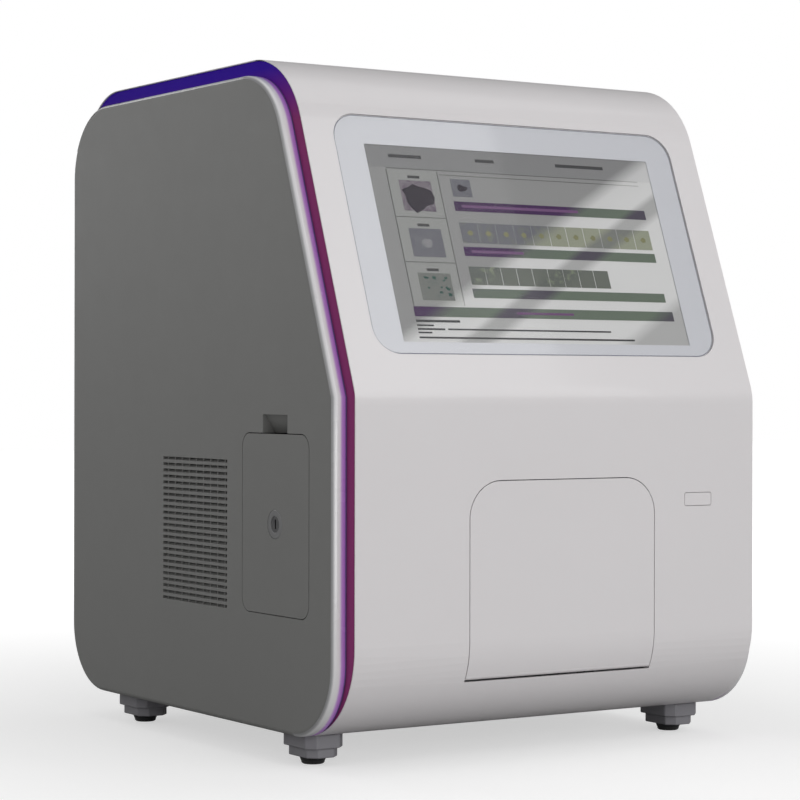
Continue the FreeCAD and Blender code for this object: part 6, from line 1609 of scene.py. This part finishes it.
def makeSupply():
    s = supply
    dress("power_supply", looks["zinc"], 0.4)
    middle = (s["low"][0] + s["high"][0]) / 2
    top = (s["low"][2] + s["high"][2]) / 2
    reachX, reachZ = s["columns"] * s["cell"] / 2, s["rows"] * s["cell"] / 2
    bm = bmesh.new()
    block(bm, (middle - reachX, s["high"][1] - 0.2, top - reachZ), (middle + reachX, s["high"][1] + 0.04, top + reachZ))
    attach(pieceFrom(bm, "supply_shade", looks["blackPlastic"]), "power_supply", replace=False)
    cell = bmesh.new()
    half = s["cell"] / 2
    count = 12
    hole = [(1.75 * math.cos(2 * math.pi * k / count), 1.75 * math.sin(2 * math.pi * k / count)) for k in range(count)]
    outer = []
    for hx, hz in hole:
        grow = half / max(abs(hx), abs(hz))
        outer.append((hx * grow, hz * grow))
    frameSlab(cell, outer, hole, (0.05, 0.9), lambda px, pz, y: Vector((px, y, pz)))
    grid = field("supply_grid", template(cell), looks["zinc"], (middle - reachX + half, s["high"][1], top - reachZ + half),
                 (s["cell"], 0, 0), s["columns"], (0, 0, s["cell"]), s["rows"])
    attach(grid, "power_supply", replace=False)
    bm = bmesh.new()
    for k in range(5):
        block(bm, (-74 + 9 * k, 136, 111.5), (-66.4 + 9 * k, 148, 119))
    terminal = pieceFrom(bm, "supply_terminal", looks["darkPlastic"])
    soften(terminal, 0.4, 2)
    attach(terminal, "power_supply", replace=False)
    screws("power_supply", "supply_terminal_screws", [(-70.2 + 9 * k, 142, 119) for k in range(5)], "Z", 2.2, 0.8)


makeBoard()
makeSupply()
print("electronics made")


# Ribs inside the two lids, and the screws of the steel frame

inside = {"doorRibs": [78 + 18 * k for k in range(4)], "doorRibHalf": 52, "doorIn": -166.5, "ribHigh": 1.6,
          "ribWide": 1.4, "hatchIn": -147.0, "hatchRibs": (-124.0, -69.0), "hatchLow": 108, "hatchHigh": 178}


def makeRibs():
    n = inside
    rib = bmesh.new()
    block(rib, (-n["doorRibHalf"], n["doorIn"] - 0.3, -n["ribWide"] / 2), (n["doorRibHalf"], n["doorIn"] + n["ribHigh"],
                                                                         n["ribWide"] / 2))
    ribs = field("door_ribs", template(rib, 0.3, 2), looks["shell"], (0, 0, n["doorRibs"][0]),
                 (0, 0, n["doorRibs"][1] - n["doorRibs"][0]), len(n["doorRibs"]))
    attach(ribs, "sample_door", replace=False)
    rib = bmesh.new()
    block(rib, (n["hatchIn"] - 0.3, -n["ribWide"] / 2, n["hatchLow"]), (n["hatchIn"] + n["ribHigh"], n["ribWide"] / 2,
                                                                       n["hatchHigh"]))
    ribs = field("hatch_ribs", template(rib, 0.3, 2), looks["panel"], (0, n["hatchRibs"][0], 0),
                 (0, n["hatchRibs"][1] - n["hatchRibs"][0], 0), 2)
    attach(ribs, "side_hatch", replace=False)


def makeFrameScrews():
    floor = [(x, y, 34) for x in (-72, 0, 72) for y in (-120, 0, 118)]
    floor = [spot for spot in floor if not (spot[0] == 0 and spot[1] == 0)]
    screws("stage_plate", "stage_screws", floor, "Z", 3.0, 1.8)
    screws("optics_frame", "optics_screws", [(side * 76, 95, z) for side in (-1, 1) for z in (130, 180, 230)], "-Y",
           2.8, 1.8, "blackScrew")
    screws("rear_bulkhead", "bulkhead_screws", [(x, 128, z) for x in (-128, 128) for z in (60, 190, 325)], "-Y", 3.0,
           1.8)


makeRibs()
makeFrameScrews()
print("ribs and frame screws made")

# Every other node keeps its own shape, with rounded edges and its finish

plain = {
    "panel": (["side_hatch"], 0.35),
    "backPlate": (["back_panel"], 0.25),
    "shell": (["front_button"], 0.35),
    "lockSteel": (["lock_housing"], 0.25),
    "lockPlug": (["lock_plug"], 0.25),
    "zinc": (["lock_cam", "lock_nut", "display_bracket", "chassis_wall_left", "chassis_wall_right",
              "rear_bulkhead", "bottle_shelf", "door_strikes", "stage_plate"], 0.2),
    "brushed": (["door_hinge_pins", "hatch_hinge_pins"], 0.15),
    "magnet": (["door_magnets"], 0.2),
    "darkPlastic": (["door_frame", "button_switch"], 0.3),
    "anodised": (["optics_frame", "focus_carriage"], 0.4),
}
for look, (members, edge) in plain.items():
    for node in members:
        dress(node, looks[look], edge)
print("other nodes dressed")


# Floor, light and camera

studio = {"floorHalf": 6.0, "world": 0.22, "key": 18, "front": 20, "top": 9, "left": 7,
          "right": 5, "back": 12}


def makeFloorPaint():
    # bright where the camera sees it and quiet as a source of light; whiter away from the object
    material = surface("paleFloor", (0.52, 0.52, 0.52), vary=0.01, varyScale=3, rough=0.7, roughVary=0.03)
    parts = material.node_tree.nodes
    links = material.node_tree.links
    shader = parts["Principled BSDF"]
    where = parts.new("ShaderNodeTexCoord")
    away = parts.new("ShaderNodeVectorMath")
    away.operation = "LENGTH"
    links.new(where.outputs["Object"], away.inputs[0])
    fade = parts.new("ShaderNodeMapRange")
    fade.inputs["From Min"].default_value = 0.25
    fade.inputs["From Max"].default_value = 1.3
    fade.inputs["To Min"].default_value = 0.55
    fade.inputs["To Max"].default_value = 1.0
    links.new(away.outputs["Value"], fade.inputs["Value"])
    shader.inputs["Emission Color"].default_value = (1, 1, 1, 1)
    links.new(fade.outputs["Result"], shader.inputs["Emission Strength"])
    quiet = parts.new("ShaderNodeBsdfDiffuse")
    quiet.inputs["Color"].default_value = (0.45, 0.45, 0.45, 1)
    ray = parts.new("ShaderNodeLightPath")
    choose = parts.new("ShaderNodeMixShader")
    links.new(ray.outputs["Is Camera Ray"], choose.inputs["Fac"])
    links.new(quiet.outputs["BSDF"], choose.inputs[1])
    links.new(shader.outputs["BSDF"], choose.inputs[2])
    links.new(choose.outputs["Shader"], parts["Material Output"].inputs["Surface"])
    return material


def makeStudio():
    bm = bmesh.new()
    half = studio["floorHalf"]
    corners = [bm.verts.new((x * half, y * half, -0.0002)) for x, y in ((-1, -1), (1, -1), (1, 1), (-1, 1))]
    bm.faces.new(corners)
    mesh = bpy.data.meshes.new("floor")
    bm.to_mesh(mesh)
    bm.free()
    floor = link("floor", mesh)
    mesh.materials.append(makeFloorPaint())

    world = bpy.data.worlds.new("studio")
    scene.world = world
    world.use_nodes = True
    parts = world.node_tree.nodes
    links = world.node_tree.links
    soft = parts["Background"]
    soft.inputs["Color"].default_value = (1, 1, 1, 1)
    soft.inputs["Strength"].default_value = studio["world"]
    seen = parts.new("ShaderNodeBackground")
    seen.inputs["Color"].default_value = (1, 1, 1, 1)
    seen.inputs["Strength"].default_value = 1.0
    ray = parts.new("ShaderNodeLightPath")
    choose = parts.new("ShaderNodeMixShader")
    links.new(ray.outputs["Is Camera Ray"], choose.inputs["Fac"])
    links.new(soft.outputs["Background"], choose.inputs[1])
    links.new(seen.outputs["Background"], choose.inputs[2])
    links.new(choose.outputs["Shader"], parts["World Output"].inputs["Surface"])

    aim = Vector((0, 0, 0.2))
    for word, place, size, power in (
            ("key", (0.9, -2.3, 1.5), (1.8, 1.6), studio["key"]),
            ("front", (-0.2, -2.6, 0.5), (2.2, 0.9), studio["front"]),
            ("top", (0.1, -0.1, 2.3), (2.2, 2.2), studio["top"]),
            ("left", (-2.4, 0.3, 1.1), (1.8, 1.6), studio["left"]),
            ("right", (2.6, 0.3, 0.9), (1.6, 1.4), studio["right"]),
            ("back", (-0.9, 2.5, 1.1), (1.8, 1.6), studio["back"])):
        lamp = bpy.data.lights.new(word, "AREA")
        lamp.shape = "RECTANGLE"
        lamp.size, lamp.size_y = size
        lamp.energy = power
        thing = bpy.data.objects.new(word, lamp)
        scene.collection.objects.link(thing)
        thing.location = place
        thing.rotation_euler = (aim - Vector(place)).to_track_quat("-Z", "Y").to_euler()


def makeCamera():
    lens = bpy.data.cameras.new("photoCamera")
    lens.lens = 110.49
    lens.sensor_width = 36
    lens.shift_y = -0.019
    lens.clip_end = 20
    eye = bpy.data.objects.new("photoCamera", lens)
    scene.collection.objects.link(eye)
    turn = math.radians(32.877)
    ahead = Vector((math.sin(turn), math.cos(turn), 0.0004))
    eye.location = metres(-845.9, -1303.6, 214.5)
    level = ahead.to_track_quat("-Z", "Y")
    eye.rotation_euler = (level.to_matrix() @ Matrix.Rotation(0.0018, 3, "Z")).to_euler()
    scene.camera = eye


makeStudio()
makeCamera()
scene.view_settings.view_transform = "Standard"
